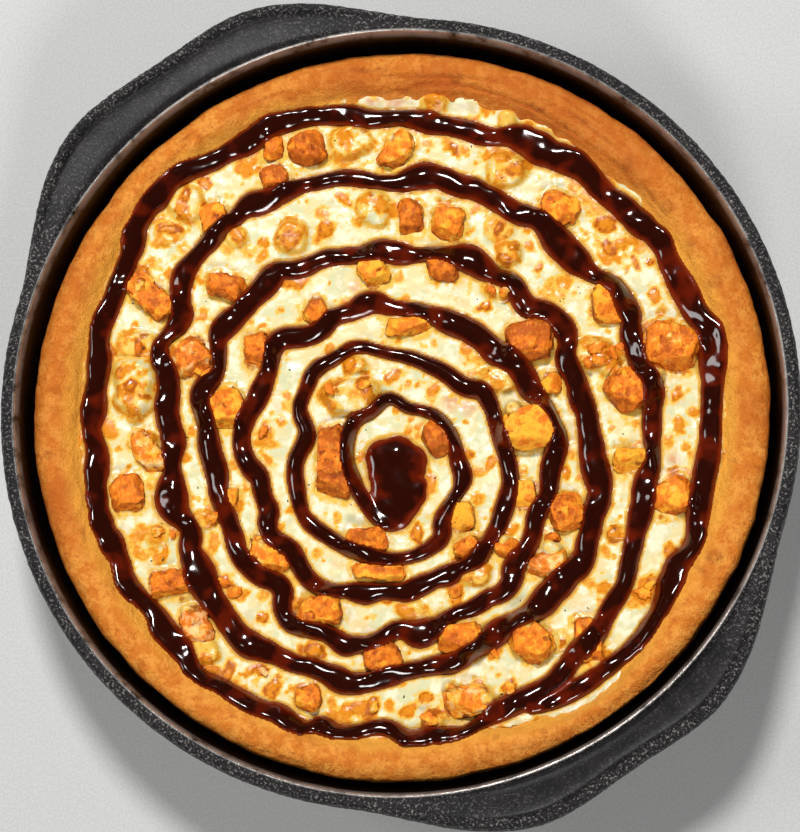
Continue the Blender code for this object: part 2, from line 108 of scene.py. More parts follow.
# The sauce, poured from the middle outwards: places on its middle line in the view, each with its width.
SAUCE_PATH = (
    (390, 522, 18), (378, 518, 16), (368, 507, 15), (361, 497, 14), (356, 486, 14), (351, 474, 14),
    (347, 462, 13), (346, 448, 12), (348, 434, 14), (351, 422, 16), (362, 416, 10), (372, 413, 10),
    (380, 404, 10), (386, 396, 12), (396, 398, 12), (406, 408, 11), (420, 409, 11), (432, 412, 12),
    (442, 420, 12), (451, 430, 12), (456, 444, 12), (456, 458, 16), (462, 470, 19), (464, 479, 17),
    (459, 490, 13), (452, 500, 12), (446, 510, 14), (440, 522, 18), (443, 532, 18), (440, 540, 16),
    (432, 546, 15), (424, 551, 15), (416, 555, 12), (404, 558, 12), (392, 559, 12), (380, 558, 14),
    (368, 555, 16), (356, 551, 15), (344, 547, 15), (333, 540, 14), (323, 533, 15), (312, 526, 15),
    (302, 516, 14), (298, 500, 15), (296, 486, 16), (293, 472, 17), (295, 458, 16), (301, 448, 16),
    (307, 438, 17), (307, 428, 16), (300, 416, 15), (298, 406, 14), (302, 396, 14), (307, 386, 14),
    (310, 374, 15), (318, 365, 16), (330, 360, 14), (341, 353, 13), (352, 345, 13), (364, 345, 12),
    (378, 350, 12), (390, 353, 12), (404, 355, 13), (418, 359, 14), (430, 365, 16), (442, 370, 17),
    (452, 377, 17), (462, 386, 18), (472, 388, 18), (482, 388, 18), (489, 400, 16), (493, 412, 15),
    (496, 424, 15), (500, 436, 16), (504, 448, 16), (508, 460, 16), (510, 472, 16), (511, 484, 16),
    (508, 496, 17), (504, 508, 18), (500, 520, 18), (499, 524, 17), (492, 536, 15), (484, 546, 14),
    (480, 558, 18), (468, 565, 14), (456, 568, 15), (450, 575, 22), (438, 577, 16), (428, 582, 18),
    (418, 586, 21), (408, 592, 20), (398, 592, 16), (386, 590, 15), (376, 591, 16), (366, 594, 21),
    (356, 592, 19), (346, 590, 12), (336, 591, 13), (319, 588, 16), (308, 580, 17), (300, 568, 17),
    (295, 555, 17), (289, 546, 18), (278, 542, 17), (270, 536, 17), (265, 524, 19), (270, 510, 20),
    (264, 500, 17), (260, 488, 18), (260, 476, 20), (252, 470, 20), (245, 460, 19), (241, 448, 17),
    (240, 436, 17), (243, 424, 18), (248, 414, 16), (255, 402, 18), (260, 390, 22), (264, 380, 18),
    (270, 366, 16), (272, 354, 15), (274, 344, 18), (280, 337, 21), (294, 336, 20), (306, 336, 18),
    (316, 333, 18), (326, 326, 18), (332, 315, 17), (344, 313, 16), (354, 310, 18), (364, 302, 23),
    (376, 300, 23), (386, 306, 16), (400, 308, 15), (414, 308, 15), (426, 312, 14), (438, 316, 21),
    (450, 322, 22), (462, 326, 22), (474, 332, 22), (486, 342, 22), (494, 352, 24), (506, 356, 22),
    (518, 366, 22), (527, 378, 25), (529, 388, 23), (538, 397, 16), (548, 406, 12), (555, 418, 10),
    (561, 432, 12), (560, 444, 18), (554, 456, 22), (550, 468, 21), (549, 480, 18), (550, 490, 16),
    (545, 502, 16), (537, 512, 18), (534, 522, 19), (534, 530, 18), (530, 542, 16), (525, 552, 17),
    (516, 560, 20), (512, 570, 22), (513, 580, 21), (506, 590, 18), (496, 596, 16), (490, 596, 17),
    (480, 604, 16), (468, 610, 15), (456, 612, 14), (444, 619, 14), (438, 626, 16), (424, 633, 26),
    (416, 635, 26), (408, 630, 18), (396, 628, 18), (388, 634, 16), (378, 640, 16), (366, 644, 15),
    (354, 644, 16), (344, 647, 22), (334, 637, 17), (324, 632, 16), (312, 630, 15), (300, 628, 15),
    (290, 624, 17), (282, 614, 17), (280, 602, 18), (284, 593, 20), (279, 583, 19), (270, 580, 18),
    (258, 576, 18), (250, 568, 18), (242, 560, 19), (236, 550, 18), (234, 538, 19), (230, 526, 17),
    (226, 514, 18), (220, 502, 18), (217, 490, 18), (217, 478, 22), (215, 466, 23), (210, 454, 23),
    (207, 440, 20), (207, 428, 18), (205, 416, 18), (200, 404, 21), (200, 392, 22), (205, 383, 21),
    (215, 377, 15), (220, 366, 12), (219, 352, 14), (216, 341, 16), (219, 330, 24), (227, 322, 25),
    (236, 315, 21), (248, 303, 18), (256, 294, 20), (266, 284, 25), (272, 274, 25), (278, 267, 16),
    (290, 270, 18), (302, 268, 18), (314, 262, 16), (326, 256, 18), (338, 256, 17), (350, 254, 16),
    (362, 254, 16), (374, 250, 21), (384, 249, 23), (396, 252, 23), (408, 254, 18), (420, 254, 14),
    (432, 252, 14), (446, 254, 16), (457, 256, 20), (468, 256, 28), (478, 263, 27), (486, 270, 21),
    (496, 277, 16), (508, 279, 17), (517, 286, 19), (520, 298, 22), (527, 308, 22), (540, 308, 20),
    (552, 312, 18), (562, 322, 22), (568, 334, 20), (568, 346, 18), (564, 356, 20), (568, 366, 22),
    (575, 376, 20), (578, 386, 20), (580, 398, 22), (586, 408, 22), (588, 420, 20), (589, 432, 22),
    (592, 444, 24), (592, 456, 25), (596, 470, 27), (600, 484, 24), (600, 496, 22), (596, 508, 22),
    (592, 518, 19), (593, 522, 19), (590, 532, 19), (586, 543, 20), (586, 554, 22), (579, 567, 22),
    (568, 574, 22), (560, 584, 24), (550, 593, 26), (542, 604, 25), (531, 613, 18), (520, 618, 16),
    (508, 624, 18), (500, 629, 23), (492, 637, 24), (482, 646, 14), (470, 652, 16), (460, 660, 19),
    (450, 664, 19), (438, 664, 18), (426, 667, 16), (414, 669, 16), (402, 672, 16), (390, 676, 18),
    (378, 680, 17), (366, 682, 19), (354, 684, 20), (342, 682, 23), (330, 675, 21), (318, 669, 17),
    (306, 666, 17), (294, 664, 17), (282, 658, 18), (270, 652, 19), (258, 648, 22), (246, 644, 28),
    (236, 634, 23), (228, 623, 21), (221, 611, 22), (213, 601, 23), (206, 590, 26), (200, 578, 29),
    (198, 567, 29), (191, 557, 24), (188, 547, 19), (191, 536, 21), (190, 527, 20), (181, 518, 18),
    (172, 509, 29), (170, 497, 34), (170, 486, 27), (172, 474, 17), (172, 462, 14), (172, 451, 18),
    (174, 440, 25), (170, 429, 22), (166, 416, 22), (166, 404, 23), (168, 392, 22), (168, 380, 21),
    (167, 369, 22), (160, 360, 19), (158, 350, 16), (162, 340, 15), (169, 332, 16), (178, 324, 20),
    (183, 315, 21), (181, 304, 17), (179, 292, 19), (180, 280, 22), (184, 269, 23), (192, 260, 17),
    (200, 250, 16), (208, 242, 18), (216, 233, 16), (224, 224, 16), (234, 218, 16), (241, 210, 17),
    (247, 204, 23), (257, 202, 25), (268, 200, 20), (280, 194, 18), (292, 188, 18), (304, 184, 14),
    (316, 182, 14), (328, 179, 15), (340, 176, 16), (352, 176, 18), (364, 178, 16), (376, 180, 14),
    (388, 182, 14), (400, 182, 18), (410, 178, 24), (420, 174, 26), (432, 174, 25), (442, 176, 22),
    (452, 182, 22), (464, 186, 22), (474, 186, 22), (484, 194, 18), (494, 198, 20), (504, 204, 20),
    (514, 212, 22), (524, 214, 22), (534, 216, 18), (543, 222, 19), (550, 232, 25), (558, 241, 29),
    (568, 251, 30), (578, 261, 25), (586, 268, 20), (595, 275, 16), (605, 278, 14), (614, 284, 18),
    (621, 295, 21), (627, 307, 22), (632, 318, 22), (629, 312, 17), (632, 323, 18), (630, 333, 21),
    (634, 345, 20), (636, 357, 18), (640, 367, 18), (648, 375, 18), (654, 385, 21), (654, 397, 20),
    (652, 408, 18), (652, 420, 18), (652, 432, 18), (652, 444, 16), (654, 456, 14), (652, 467, 17),
    (646, 477, 22), (644, 489, 22), (644, 500, 22), (641, 512, 22), (638, 522, 19), (636, 534, 18),
    (633, 546, 17), (630, 558, 17), (628, 570, 17), (626, 582, 17), (620, 593, 17), (612, 604, 17),
    (606, 615, 18), (601, 627, 17), (593, 638, 20), (582, 648, 22), (572, 658, 18), (566, 668, 18),
    (559, 677, 18), (549, 685, 18), (537, 692, 18), (525, 698, 20), (513, 704, 22), (501, 709, 22),
    (488, 718, 15), (477, 725, 11), (466, 732, 12), (454, 734, 16), (441, 736, 17), (429, 734, 17),
    (421, 740, 18), (411, 742, 16), (401, 736, 17), (391, 728, 16), (380, 726, 14), (368, 729, 14),
    (356, 732, 14), (344, 733, 14), (333, 732, 15), (324, 726, 18), (317, 724, 16), (307, 729, 10),
    (298, 728, 16), (288, 721, 18), (278, 712, 21), (267, 711, 18), (255, 707, 18), (243, 700, 18),
    (232, 694, 17), (222, 686, 16), (212, 682, 16), (201, 680, 16), (192, 671, 16), (188, 660, 18),
    (182, 649, 22), (171, 638, 24), (161, 628, 22), (158, 619, 21), (152, 610, 17), (142, 600, 16),
    (132, 592, 20), (125, 582, 20), (122, 571, 18), (120, 560, 18), (114, 550, 22), (110, 538, 22),
    (106, 535, 20), (101, 522, 21), (98, 509, 18), (96, 496, 19), (95, 483, 20), (96, 470, 22),
    (97, 458, 22), (96, 448, 21), (93, 438, 18), (90, 428, 16), (92, 417, 24), (94, 404, 25),
    (94, 392, 18), (97, 380, 20), (98, 368, 23), (99, 356, 21), (98, 344, 18), (99, 332, 18),
    (103, 320, 20), (108, 308, 18), (114, 296, 19), (118, 282, 18), (123, 270, 18), (128, 258, 18),
    (132, 248, 22), (133, 238, 23), (136, 228, 18), (141, 219, 16), (147, 208, 18), (154, 200, 20),
    (161, 192, 22), (167, 184, 18), (177, 176, 18), (188, 170, 18), (200, 166, 17), (210, 161, 18),
    (220, 157, 17), (230, 150, 18), (241, 146, 22), (251, 140, 22), (261, 134, 24), (270, 126, 24),
    (280, 123, 18), (292, 120, 19), (306, 116, 18), (320, 115, 18), (334, 114, 19), (348, 114, 21),
    (360, 117, 21), (372, 118, 19), (386, 117, 16), (400, 116, 16), (414, 117, 19), (426, 121, 22),
    (440, 124, 19), (452, 125, 18), (466, 128, 22), (480, 134, 21), (492, 136, 18), (506, 136, 16),
    (518, 135, 24), (529, 141, 30), (540, 148, 30), (552, 154, 26), (564, 158, 26), (576, 162, 26),
    (588, 172, 22), (600, 188, 21), (610, 197, 22), (621, 204, 21), (629, 212, 25), (639, 222, 25),
    (651, 230, 22), (662, 240, 22), (666, 252, 20), (670, 263, 20), (676, 273, 22), (684, 289, 28),
    (691, 301, 24), (694, 310, 24), (703, 321, 22), (712, 332, 25), (714, 344, 27), (713, 356, 26),
    (713, 369, 23), (713, 382, 21), (712, 395, 20), (712, 408, 20), (711, 421, 20), (711, 434, 20),
    (710, 447, 20), (708, 460, 22), (705, 474, 23), (702, 488, 22), (700, 502, 22), (698, 516, 22),
    (697, 528, 19), (697, 536, 19), (693, 547, 18), (686, 556, 19), (678, 563, 24), (674, 573, 24),
    (673, 583, 24), (670, 593, 21), (664, 603, 18), (658, 613, 16), (652, 622, 16), (646, 632, 16),
    (638, 642, 16), (630, 650, 15), (620, 658, 15), (610, 666, 16), (600, 673, 16), (590, 681, 17),
    (578, 688, 17), (566, 696, 16), (554, 702, 14), (541, 706, 12), (530, 709, 10),
)

# The pool of sauce in the middle, where the pouring started: its height, and its outline in the view.
POOL_HEIGHT = 1.8
POOL_OUTLINE = (
    (372, 440), (396, 433), (420, 445), (424, 462), (415, 476), (428, 486), (424, 504),
    (411, 518), (391, 532), (377, 517), (370, 496), (367, 468),
)

# Chunks under the cheese: place in the view, length and width in view steps, and rise in millimetres.
MOUNDS = (
    (186, 204, 34, 40, 3.2), (237, 236, 20, 20, 2.2), (291, 238, 30, 32, 2.8), (352, 140, 40, 32, 3.0),
    (436, 102, 26, 16, 2.0), (508, 121, 16, 20, 2.0), (508, 168, 40, 34, 3.2), (373, 206, 38, 38, 3.4),
    (508, 252, 24, 26, 2.6), (497, 288, 34, 22, 2.6), (498, 380, 36, 26, 2.8), (598, 355, 46, 32, 3.2),
    (348, 397, 56, 38, 4.2), (135, 386, 50, 60, 4.6), (138, 345, 46, 26, 2.4), (205, 519, 24, 18, 2.0),
    (205, 652, 28, 20, 2.4), (314, 648, 20, 20, 1.8), (432, 720, 22, 20, 2.2), (410, 610, 32, 18, 1.8),
    (474, 574, 36, 22, 2.4), (616, 534, 24, 14, 1.8), (354, 365, 26, 16, 2.0), (500, 228, 30, 26, 1.6),
    (170, 232, 30, 24, 1.6), (155, 535, 30, 26, 1.6), (560, 640, 24, 24, 1.4),
)

# Browned spots on the cheese: place in the view, radius in view steps, and browning out of ten.
BROWNED = (
    (186, 193, 7, 9), (204, 181, 8, 8), (205, 205, 5, 8), (180, 207, 9, 7), (220, 212, 6, 6),
    (185, 215, 6, 6), (170, 229, 8, 9), (160, 243, 6, 5), (184, 246, 6, 4), (158, 219, 7, 4),
    (150, 262, 6, 4), (237, 236, 8, 7), (248, 166, 10, 6), (255, 155, 6, 4), (289, 225, 10, 5),
    (290, 240, 10, 7), (300, 232, 5, 5), (263, 242, 5, 7), (262, 254, 5, 5), (250, 248, 7, 3),
    (228, 249, 7, 3), (324, 228, 9, 7), (322, 212, 7, 5), (343, 198, 6, 7), (357, 220, 7, 5),
    (380, 205, 9, 6), (366, 200, 8, 5), (395, 210, 8, 6), (140, 275, 9, 7), (145, 293, 7, 8),
    (133, 283, 8, 6), (160, 305, 10, 5), (138, 268, 8, 7), (203, 314, 7, 6), (133, 326, 4, 5),
    (168, 272, 6, 6), (292, 282, 10, 7), (300, 285, 6, 6), (300, 262, 6, 5), (345, 300, 5, 4),
    (360, 272, 4, 5), (345, 140, 10, 6), (355, 155, 7, 5), (340, 160, 8, 5), (365, 150, 6, 4),
    (455, 147, 7, 8), (447, 143, 6, 5), (463, 148, 6, 5), (428, 142, 5, 5), (490, 150, 8, 6),
    (505, 155, 10, 6), (515, 170, 9, 7), (500, 180, 8, 5), (528, 163, 5, 6), (498, 228, 7, 9),
    (476, 206, 5, 5), (484, 212, 4, 4), (527, 228, 5, 5), (529, 244, 5, 6), (505, 260, 7, 8),
    (512, 247, 6, 7), (500, 246, 6, 6), (516, 258, 5, 6), (538, 267, 5, 7), (565, 280, 7, 5),
    (550, 290, 12, 3), (605, 222, 9, 8), (595, 208, 6, 4), (575, 183, 8, 4), (585, 195, 8, 4),
    (597, 210, 7, 4), (608, 247, 7, 8), (622, 242, 8, 6), (633, 238, 6, 6), (640, 246, 6, 5),
    (650, 260, 6, 8), (636, 262, 5, 7), (655, 295, 7, 7), (672, 285, 8, 7), (660, 312, 6, 4),
    (490, 290, 8, 6), (505, 292, 8, 7), (508, 285, 6, 8), (485, 306, 6, 8), (405, 298, 5, 5),
    (398, 275, 5, 4), (604, 166, 5, 6), (611, 177, 6, 5), (435, 100, 9, 6), (109, 347, 8, 7),
    (125, 336, 7, 4), (139, 348, 8, 8), (122, 375, 6, 7), (132, 387, 8, 9), (144, 387, 5, 6),
    (144, 397, 6, 8), (131, 398, 8, 7), (132, 409, 8, 7), (156, 387, 6, 6), (120, 393, 6, 6),
    (144, 373, 5, 5), (107, 428, 9, 6), (147, 435, 6, 8), (182, 458, 6, 6), (191, 431, 5, 5),
    (235, 462, 7, 5), (238, 507, 5, 6), (211, 518, 7, 7), (264, 429, 7, 7), (269, 433, 5, 5),
    (262, 441, 8, 5), (281, 420, 5, 5), (287, 405, 6, 3), (195, 368, 8, 7), (204, 371, 8, 7),
    (329, 349, 5, 6), (349, 362, 9, 7), (393, 374, 8, 7), (333, 389, 10, 7), (327, 400, 8, 6),
    (333, 406, 7, 6), (364, 384, 9, 8), (369, 398, 8, 7), (356, 396, 6, 4), (360, 456, 4, 6),
    (336, 520, 5, 3), (316, 551, 5, 4), (140, 531, 7, 5), (158, 531, 7, 8), (173, 533, 6, 6),
    (153, 551, 7, 5), (164, 551, 6, 6), (133, 542, 7, 4), (142, 556, 6, 5), (213, 542, 7, 5),
    (211, 551, 6, 4), (291, 509, 5, 5), (280, 527, 4, 6), (396, 409, 5, 6), (407, 384, 5, 6),
    (432, 391, 8, 6), (466, 347, 7, 6), (486, 376, 8, 4), (497, 384, 8, 5), (503, 383, 5, 5),
    (479, 358, 6, 3), (408, 430, 5, 5), (419, 436, 5, 4), (466, 453, 6, 7), (490, 462, 6, 7),
    (479, 471, 6, 5), (430, 482, 8, 6), (426, 491, 5, 5), (477, 498, 7, 5), (417, 533, 8, 8),
    (586, 344, 8, 5), (603, 349, 9, 6), (621, 349, 8, 6), (599, 360, 10, 8), (614, 364, 9, 7),
    (588, 364, 6, 7), (617, 373, 8, 7), (637, 423, 4, 4), (677, 395, 6, 7), (693, 411, 5, 6),
    (679, 423, 7, 6), (668, 438, 7, 4), (686, 446, 4, 5), (566, 473, 5, 7), (572, 453, 5, 4),
    (523, 471, 5, 4), (614, 533, 9, 7), (672, 553, 8, 7), (610, 502, 5, 5), (512, 529, 6, 6),
    (606, 551, 6, 4), (224, 581, 8, 8), (236, 591, 8, 7), (244, 593, 5, 6), (263, 617, 7, 8),
    (264, 596, 6, 4), (293, 603, 6, 6), (313, 650, 10, 8), (227, 674, 8, 8), (207, 666, 10, 7),
    (213, 670, 7, 7), (249, 672, 6, 7), (262, 670, 6, 8), (273, 686, 9, 8), (236, 683, 6, 5),
    (240, 692, 8, 5), (331, 703, 6, 5), (347, 710, 8, 6), (331, 714, 6, 6), (342, 718, 8, 5),
    (360, 708, 9, 7), (373, 706, 8, 8), (369, 712, 7, 7), (389, 706, 5, 5), (387, 599, 6, 7),
    (158, 557, 7, 6), (139, 554, 6, 5), (316, 683, 4, 4), (405, 610, 9, 6), (455, 592, 9, 7),
    (426, 614, 5, 3), (461, 577, 8, 4), (478, 576, 8, 4), (485, 568, 6, 6), (494, 652, 7, 6),
    (510, 688, 8, 8), (426, 697, 6, 8), (408, 711, 7, 7), (394, 683, 6, 5), (430, 719, 10, 8),
    (587, 582, 6, 5), (603, 587, 7, 6), (600, 602, 5, 5), (630, 563, 6, 5), (643, 583, 7, 6),
    (653, 583, 6, 7), (643, 594, 9, 7), (634, 603, 6, 5), (652, 601, 5, 4), (563, 643, 6, 8),
    (597, 648, 9, 8), (586, 657, 7, 7), (608, 654, 5, 6), (537, 725, 8, 7),
)

# Where meat and tomato show through thin cheese: place in the view and radius in view steps.
PINK_PLACES = (
    (355, 285, 8), (365, 296, 7), (452, 400, 10), (468, 405, 9), (485, 306, 6), (395, 102, 10),
    (372, 100, 8), (677, 395, 8), (575, 190, 8), (590, 205, 7), (570, 440, 6), (675, 458, 7),
    (428, 716, 7), (536, 722, 7), (562, 455, 6),
)

# How golden and how cheese-covered each bare chunk is, from 0 to 1, in the order of the chunk nodes.
CHUNK_LOOKS = (
    (0.15, 0.1), (0.40, 0.2), (0.45, 0.2), (0.70, 0.1), (0.35, 0.0), (0.55, 0.25), (0.40, 0.1),
    (0.40, 0.1), (0.70, 0.3), (0.25, 0.2), (0.60, 0.2), (0.30, 0.0), (0.85, 0.0), (0.75, 0.0),
    (0.02, 0.05), (0.95, 0.0), (0.60, 0.0), (0.70, 0.1), (0.45, 0.3), (0.40, 0.0), (1.00, 0.1),
    (0.60, 0.2), (0.85, 0.12), (0.90, 0.1), (0.45, 0.0), (0.40, 0.0), (0.65, 0.5), (0.22, 0.1),
    (0.15, 0.0), (0.90, 0.0), (0.55, 0.0), (0.40, 0.1), (0.70, 0.2), (0.55, 0.4), (0.78, 0.05),
    (0.65, 0.5), (0.40, 0.2), (0.80, 0.2), (0.40, 0.1), (0.50, 0.5), (0.75, 0.3), (0.45, 0.2),
    (0.50, 0.2), (0.62, 0.0), (0.40, 0.1), (0.60, 0.2), (0.70, 0.4), (0.50, 0.1), (0.45, 0.2),
    (0.60, 0.3),
)

# Molten cheese that laps over the side of a bare chunk: place in the view, radius in view steps, and how
# far it stands over the rest of the cheese in millimetres.
CHEESE_LAPS = (
    (655, 372, 9, 5.5), (668, 336, 7, 6.4), (514, 408, 9, 6.6), (551, 549, 10, 4.2), (528, 622, 8, 5.6),
    (140, 286, 9, 4.6), (190, 612, 9, 4.6), (148, 440, 8, 4.2), (392, 140, 7, 4.4), (262, 545, 7, 4.0),
    (452, 690, 9, 5.2), (488, 700, 8, 4.8), (180, 348, 8, 4.6), (668, 486, 6, 4.6), (503, 540, 6, 3.6),
)

# The lattice that the random hills are drawn on: how many cells until it repeats, a shift that keeps its
# indices positive, and a turn that keeps its lines off the pan's own directions.
LATTICE = 32
LATTICE_SHIFT = 640.0
LATTICE_TURN = np.array(((0.36, 0.48, -0.8), (-0.8, 0.6, 0.0), (0.48, 0.64, 0.6)))


def on_pan(view_x, view_y):
    """A place in the top view, in millimetres from the pan's middle."""
    across, up = view_x - VIEW_ORIGIN[0], VIEW_ORIGIN[1] - view_y
    nearness = 1.0 + VIEW_SLANT[0] * across + VIEW_SLANT[1] * up
    return VIEW_STEP[0] * across / nearness, (VIEW_STEP[1] * up - VIEW_SKEW * across) / nearness


def hills(points, size, seed):
    """Smooth random hills about one size apart, from -1 to 1, at an array of points."""
    lattice = np.random.default_rng(seed).uniform(-1.0, 1.0, (LATTICE,) * 3)
    turned = points @ LATTICE_TURN / size + LATTICE_SHIFT
    cell = np.floor(turned).astype(int)
    part = turned - cell
    part = part * part * (3.0 - 2.0 * part)
    total = np.zeros(len(points))
    for corner in range(8):
        step = np.array((corner & 1, corner >> 1 & 1, corner >> 2))
        weight = np.prod(np.where(step == 1, part, 1.0 - part), axis=1)
        at = (cell + step) % LATTICE
        total += weight * lattice[at[:, 0], at[:, 1], at[:, 2]]
    return total


def cells(points, size, seed):
    """One random number from -1 to 1 for each uneven cell, so that values jump from cell to cell."""
    bent = points + 0.45 * size * np.stack([hills(points, 0.9 * size, seed + k) for k in range(3)], axis=1)
    at = np.floor(bent @ LATTICE_TURN / size + LATTICE_SHIFT).astype(int) % LATTICE
    lattice = np.random.default_rng(seed).uniform(-1.0, 1.0, (LATTICE,) * 3)
    return lattice[at[:, 0], at[:, 1], at[:, 2]]


def hump(distance, reach):
    """1 at no distance, falling smoothly to 0 at reach."""
    return 0.5 + 0.5 * np.cos(np.pi * np.clip(distance / reach, 0.0, 1.0))


def smooth_step(low, high, value):
    """0 at low, rising smoothly to 1 at high."""
    share = np.clip((value - low) / (high - low), 0.0, 1.0)
    return share * share * (3.0 - 2.0 * share)


def degrees_apart(a, b):
    return np.abs((a - b + 180.0) % 360.0 - 180.0)


def on_side(bearings, side):
    """1 at the middle of a side of the pizza, falling smoothly to 0 at its reach."""
    middle, reach = side
    return hump(degrees_apart(bearings, middle), reach)


def bearing_of(x, y):
    return np.degrees(np.arctan2(y, x))


def bearings_round(stations):
    """The bearings of evenly spaced stations all the way round."""
    return np.arange(stations) * 360.0 / stations


def level_hills(x, y, size, seed):
    """Smooth random hills at arrays of places on a level plane."""
    points = np.stack([x.ravel(), y.ravel(), np.zeros(x.size)], axis=1)
    return hills(points, size, seed).reshape(x.shape)


def random_place(draw, reach):
    """A random place within reach of the pan's middle."""
    radius, angle = reach * math.sqrt(draw.uniform()), draw.uniform(0.0, 2.0 * math.pi)
    return radius * math.cos(angle), radius * math.sin(angle)


def deselect():
    for thing in bpy.context.selected_objects:
        thing.select_set(False)


def add_grid(name, across, along):
    """A primitive grid of so many faces each way, selected alone and ready to be shaped."""
    deselect()
    bpy.ops.mesh.primitive_grid_add(x_subdivisions=across, y_subdivisions=along, size=2.0)
    grid = bpy.context.object
    grid.name = name
    grid.data.name = name
    return grid


def grid_order(piece):
    """The column and row of each vertex of a fresh primitive grid."""
    places = get_points(piece) * METRES
    columns = np.unique(np.round(places[:, 0], 5), return_inverse=True)[1].reshape(-1)
    rows = np.unique(np.round(places[:, 1], 5), return_inverse=True)[1].reshape(-1)
    return columns, rows


def get_points(piece):
    flat_points = np.empty(len(piece.data.vertices) * 3, np.float32)
    piece.data.vertices.foreach_get("co", flat_points)
    return flat_points.reshape(-1, 3).astype(float) / METRES


def set_points(piece, points):
    piece.data.vertices.foreach_set("co", (points * METRES).astype(np.float32).ravel())
    piece.data.update()


def get_normals(piece):
    normals = np.empty(len(piece.data.vertices) * 3, np.float32)
    piece.data.vertices.foreach_get("normal", normals)
    return normals.reshape(-1, 3).astype(float)


def store(piece, **layers):
    """Named numbers from 0 to 1 at each vertex, for the piece's material to read."""
    for name, values in layers.items():
        layer = piece.data.attributes.new(name, "FLOAT", "POINT")
        layer.data.foreach_set("value", np.clip(values, 0.0, 1.0).astype(np.float32))


def add_piece(mesh):
    """A new piece in the scene, with the name of its mesh."""
    piece = bpy.data.objects.new(mesh.name, mesh)
    bpy.context.scene.collection.objects.link(piece)
    return piece


def add_worked_piece(name, work):
    """A new piece in the scene from a mesh being worked on, which is freed."""
    mesh = bpy.data.meshes.new(name)
    work.to_mesh(mesh)
    work.free()
    return add_piece(mesh)


def apply_modifier(piece, kind, **settings):
    """Runs a modifier on a piece and keeps what it makes as the piece's mesh."""
    piece.select_set(True)
    bpy.context.view_layer.objects.active = piece
    modifier = piece.modifiers.new(kind.lower(), kind)
    for key, value in settings.items():
        setattr(modifier, key, value)
    bpy.ops.object.modifier_apply(modifier=modifier.name)


def faces_of(name):
    """The faces of the named piece, ready for points to be dropped onto them."""
    return BVHTree.FromObject(bpy.data.objects[name], bpy.context.evaluated_depsgraph_get())


def drop_onto(faces, x, y):
    """Where a point dropped at a place lands, in metres, and the normal there, or None twice."""
    return faces.ray_cast(Vector((x, y, DROP_FROM)) * METRES, Vector((0.0, 0.0, -1.0)))[:2]


def close_up(piece, weld=0.0):
    """Merges a seam where a weld distance is given, fills open ends and turns the faces outwards."""
    work = bmesh.new()
    work.from_mesh(piece.data)
    if weld:
        bmesh.ops.remove_doubles(work, verts=work.verts, dist=weld * METRES)
    bmesh.ops.holes_fill(work, edges=[edge for edge in work.edges if edge.is_boundary])
    bmesh.ops.recalc_face_normals(work, faces=work.faces)
    work.to_mesh(piece.data)
    work.free()


def finish_piece(piece, material, nodes=()):
    """Shades a piece smooth, gives it its material and ties it to the frame."""
    piece.data.shade_smooth()
    piece.data.materials.clear()
    piece.data.materials.append(material)
    if nodes:
        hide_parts(*nodes)
    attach(piece, "root")


def rounded(line, times):
    """Cuts the corners of an open line of points again and again, keeping its two ends."""
    for _ in range(times):
        near = 0.75 * line[:-1] + 0.25 * line[1:]
        far = 0.25 * line[:-1] + 0.75 * line[1:]
        middle = np.empty((2 * len(near),) + line.shape[1:])
        middle[0::2] = near
        middle[1::2] = far
        line = np.concatenate([line[:1], middle[1:-1], line[-1:]])
    return line


def turned_shell(name, profile, bearings):
    """A closed shell bent round from a flat grid, with the radii and heights of each ring at each bearing."""
    radii, heights = profile[:, 0, :], profile[:, 1, :]
    rings, stations = radii.shape
    shell = add_grid(name, stations, rings - 1)
    columns, rows = grid_order(shell)
    columns = columns % stations
    angle = np.radians(bearings)[columns]
    radius = radii[rows, columns]
    across, up = radius * np.cos(angle), radius * np.sin(angle)
    set_points(shell, np.stack([across, up, heights[rows, columns]], axis=1))
    close_up(shell, weld=0.002)
    return shell


# Materials


def new_material(name):
    made = bpy.data.materials.new(name)
    made.use_nodes = True
    return made, made.node_tree, made.node_tree.nodes["Principled BSDF"]


def add_node(tree, kind, inputs=(), **settings):
    made = tree.nodes.new(kind)
    for key, value in settings.items():
        setattr(made, key, value)
    for key, value in dict(inputs).items():
        if isinstance(value, bpy.types.NodeSocket):
            tree.links.new(value, made.inputs[key])
        else:
            made.inputs[key].default_value = value
    return made


def grain(tree, size, detail=2.0, roughness=0.5, stretch=None):
    """Noise whose grains are about one size in millimetres, from 0 to 1."""
    place = add_node(tree, "ShaderNodeTexCoord").outputs["Object"]
    if stretch:
        place = add_node(tree, "ShaderNodeMapping", {"Vector": place, "Scale": stretch}).outputs["Vector"]
    return add_node(
        tree, "ShaderNodeTexNoise",
        {"Vector": place, "Scale": 1.0 / (size * METRES), "Detail": detail, "Roughness": roughness},
    ).outputs["Fac"]


def stored(tree, name):
    return add_node(tree, "ShaderNodeAttribute", attribute_name=name).outputs["Fac"]


def shape(tree, value, low, high, bottom=0.0, top=1.0):
    """Maps low..high smoothly to bottom..top, held at the ends."""
    return add_node(
        tree, "ShaderNodeMapRange",
        {"Value": value, "From Min": low, "From Max": high, "To Min": bottom, "To Max": top},
        interpolation_type="SMOOTHSTEP",
    ).outputs["Result"]


def reckon(tree, operation, a, b):
    return add_node(tree, "ShaderNodeMath", {0: a, 1: b}, operation=operation, use_clamp=True).outputs[0]


def add_up(tree, a, b):
    return add_node(tree, "ShaderNodeMath", {0: a, 1: b}, operation="ADD").outputs[0]


def roughened(tree, value, texture, low, high, reach):
    """A value shifted down by reach where a texture is low and up by reach where it is high."""
    return add_up(tree, value, shape(tree, texture, low, high, -reach, reach))


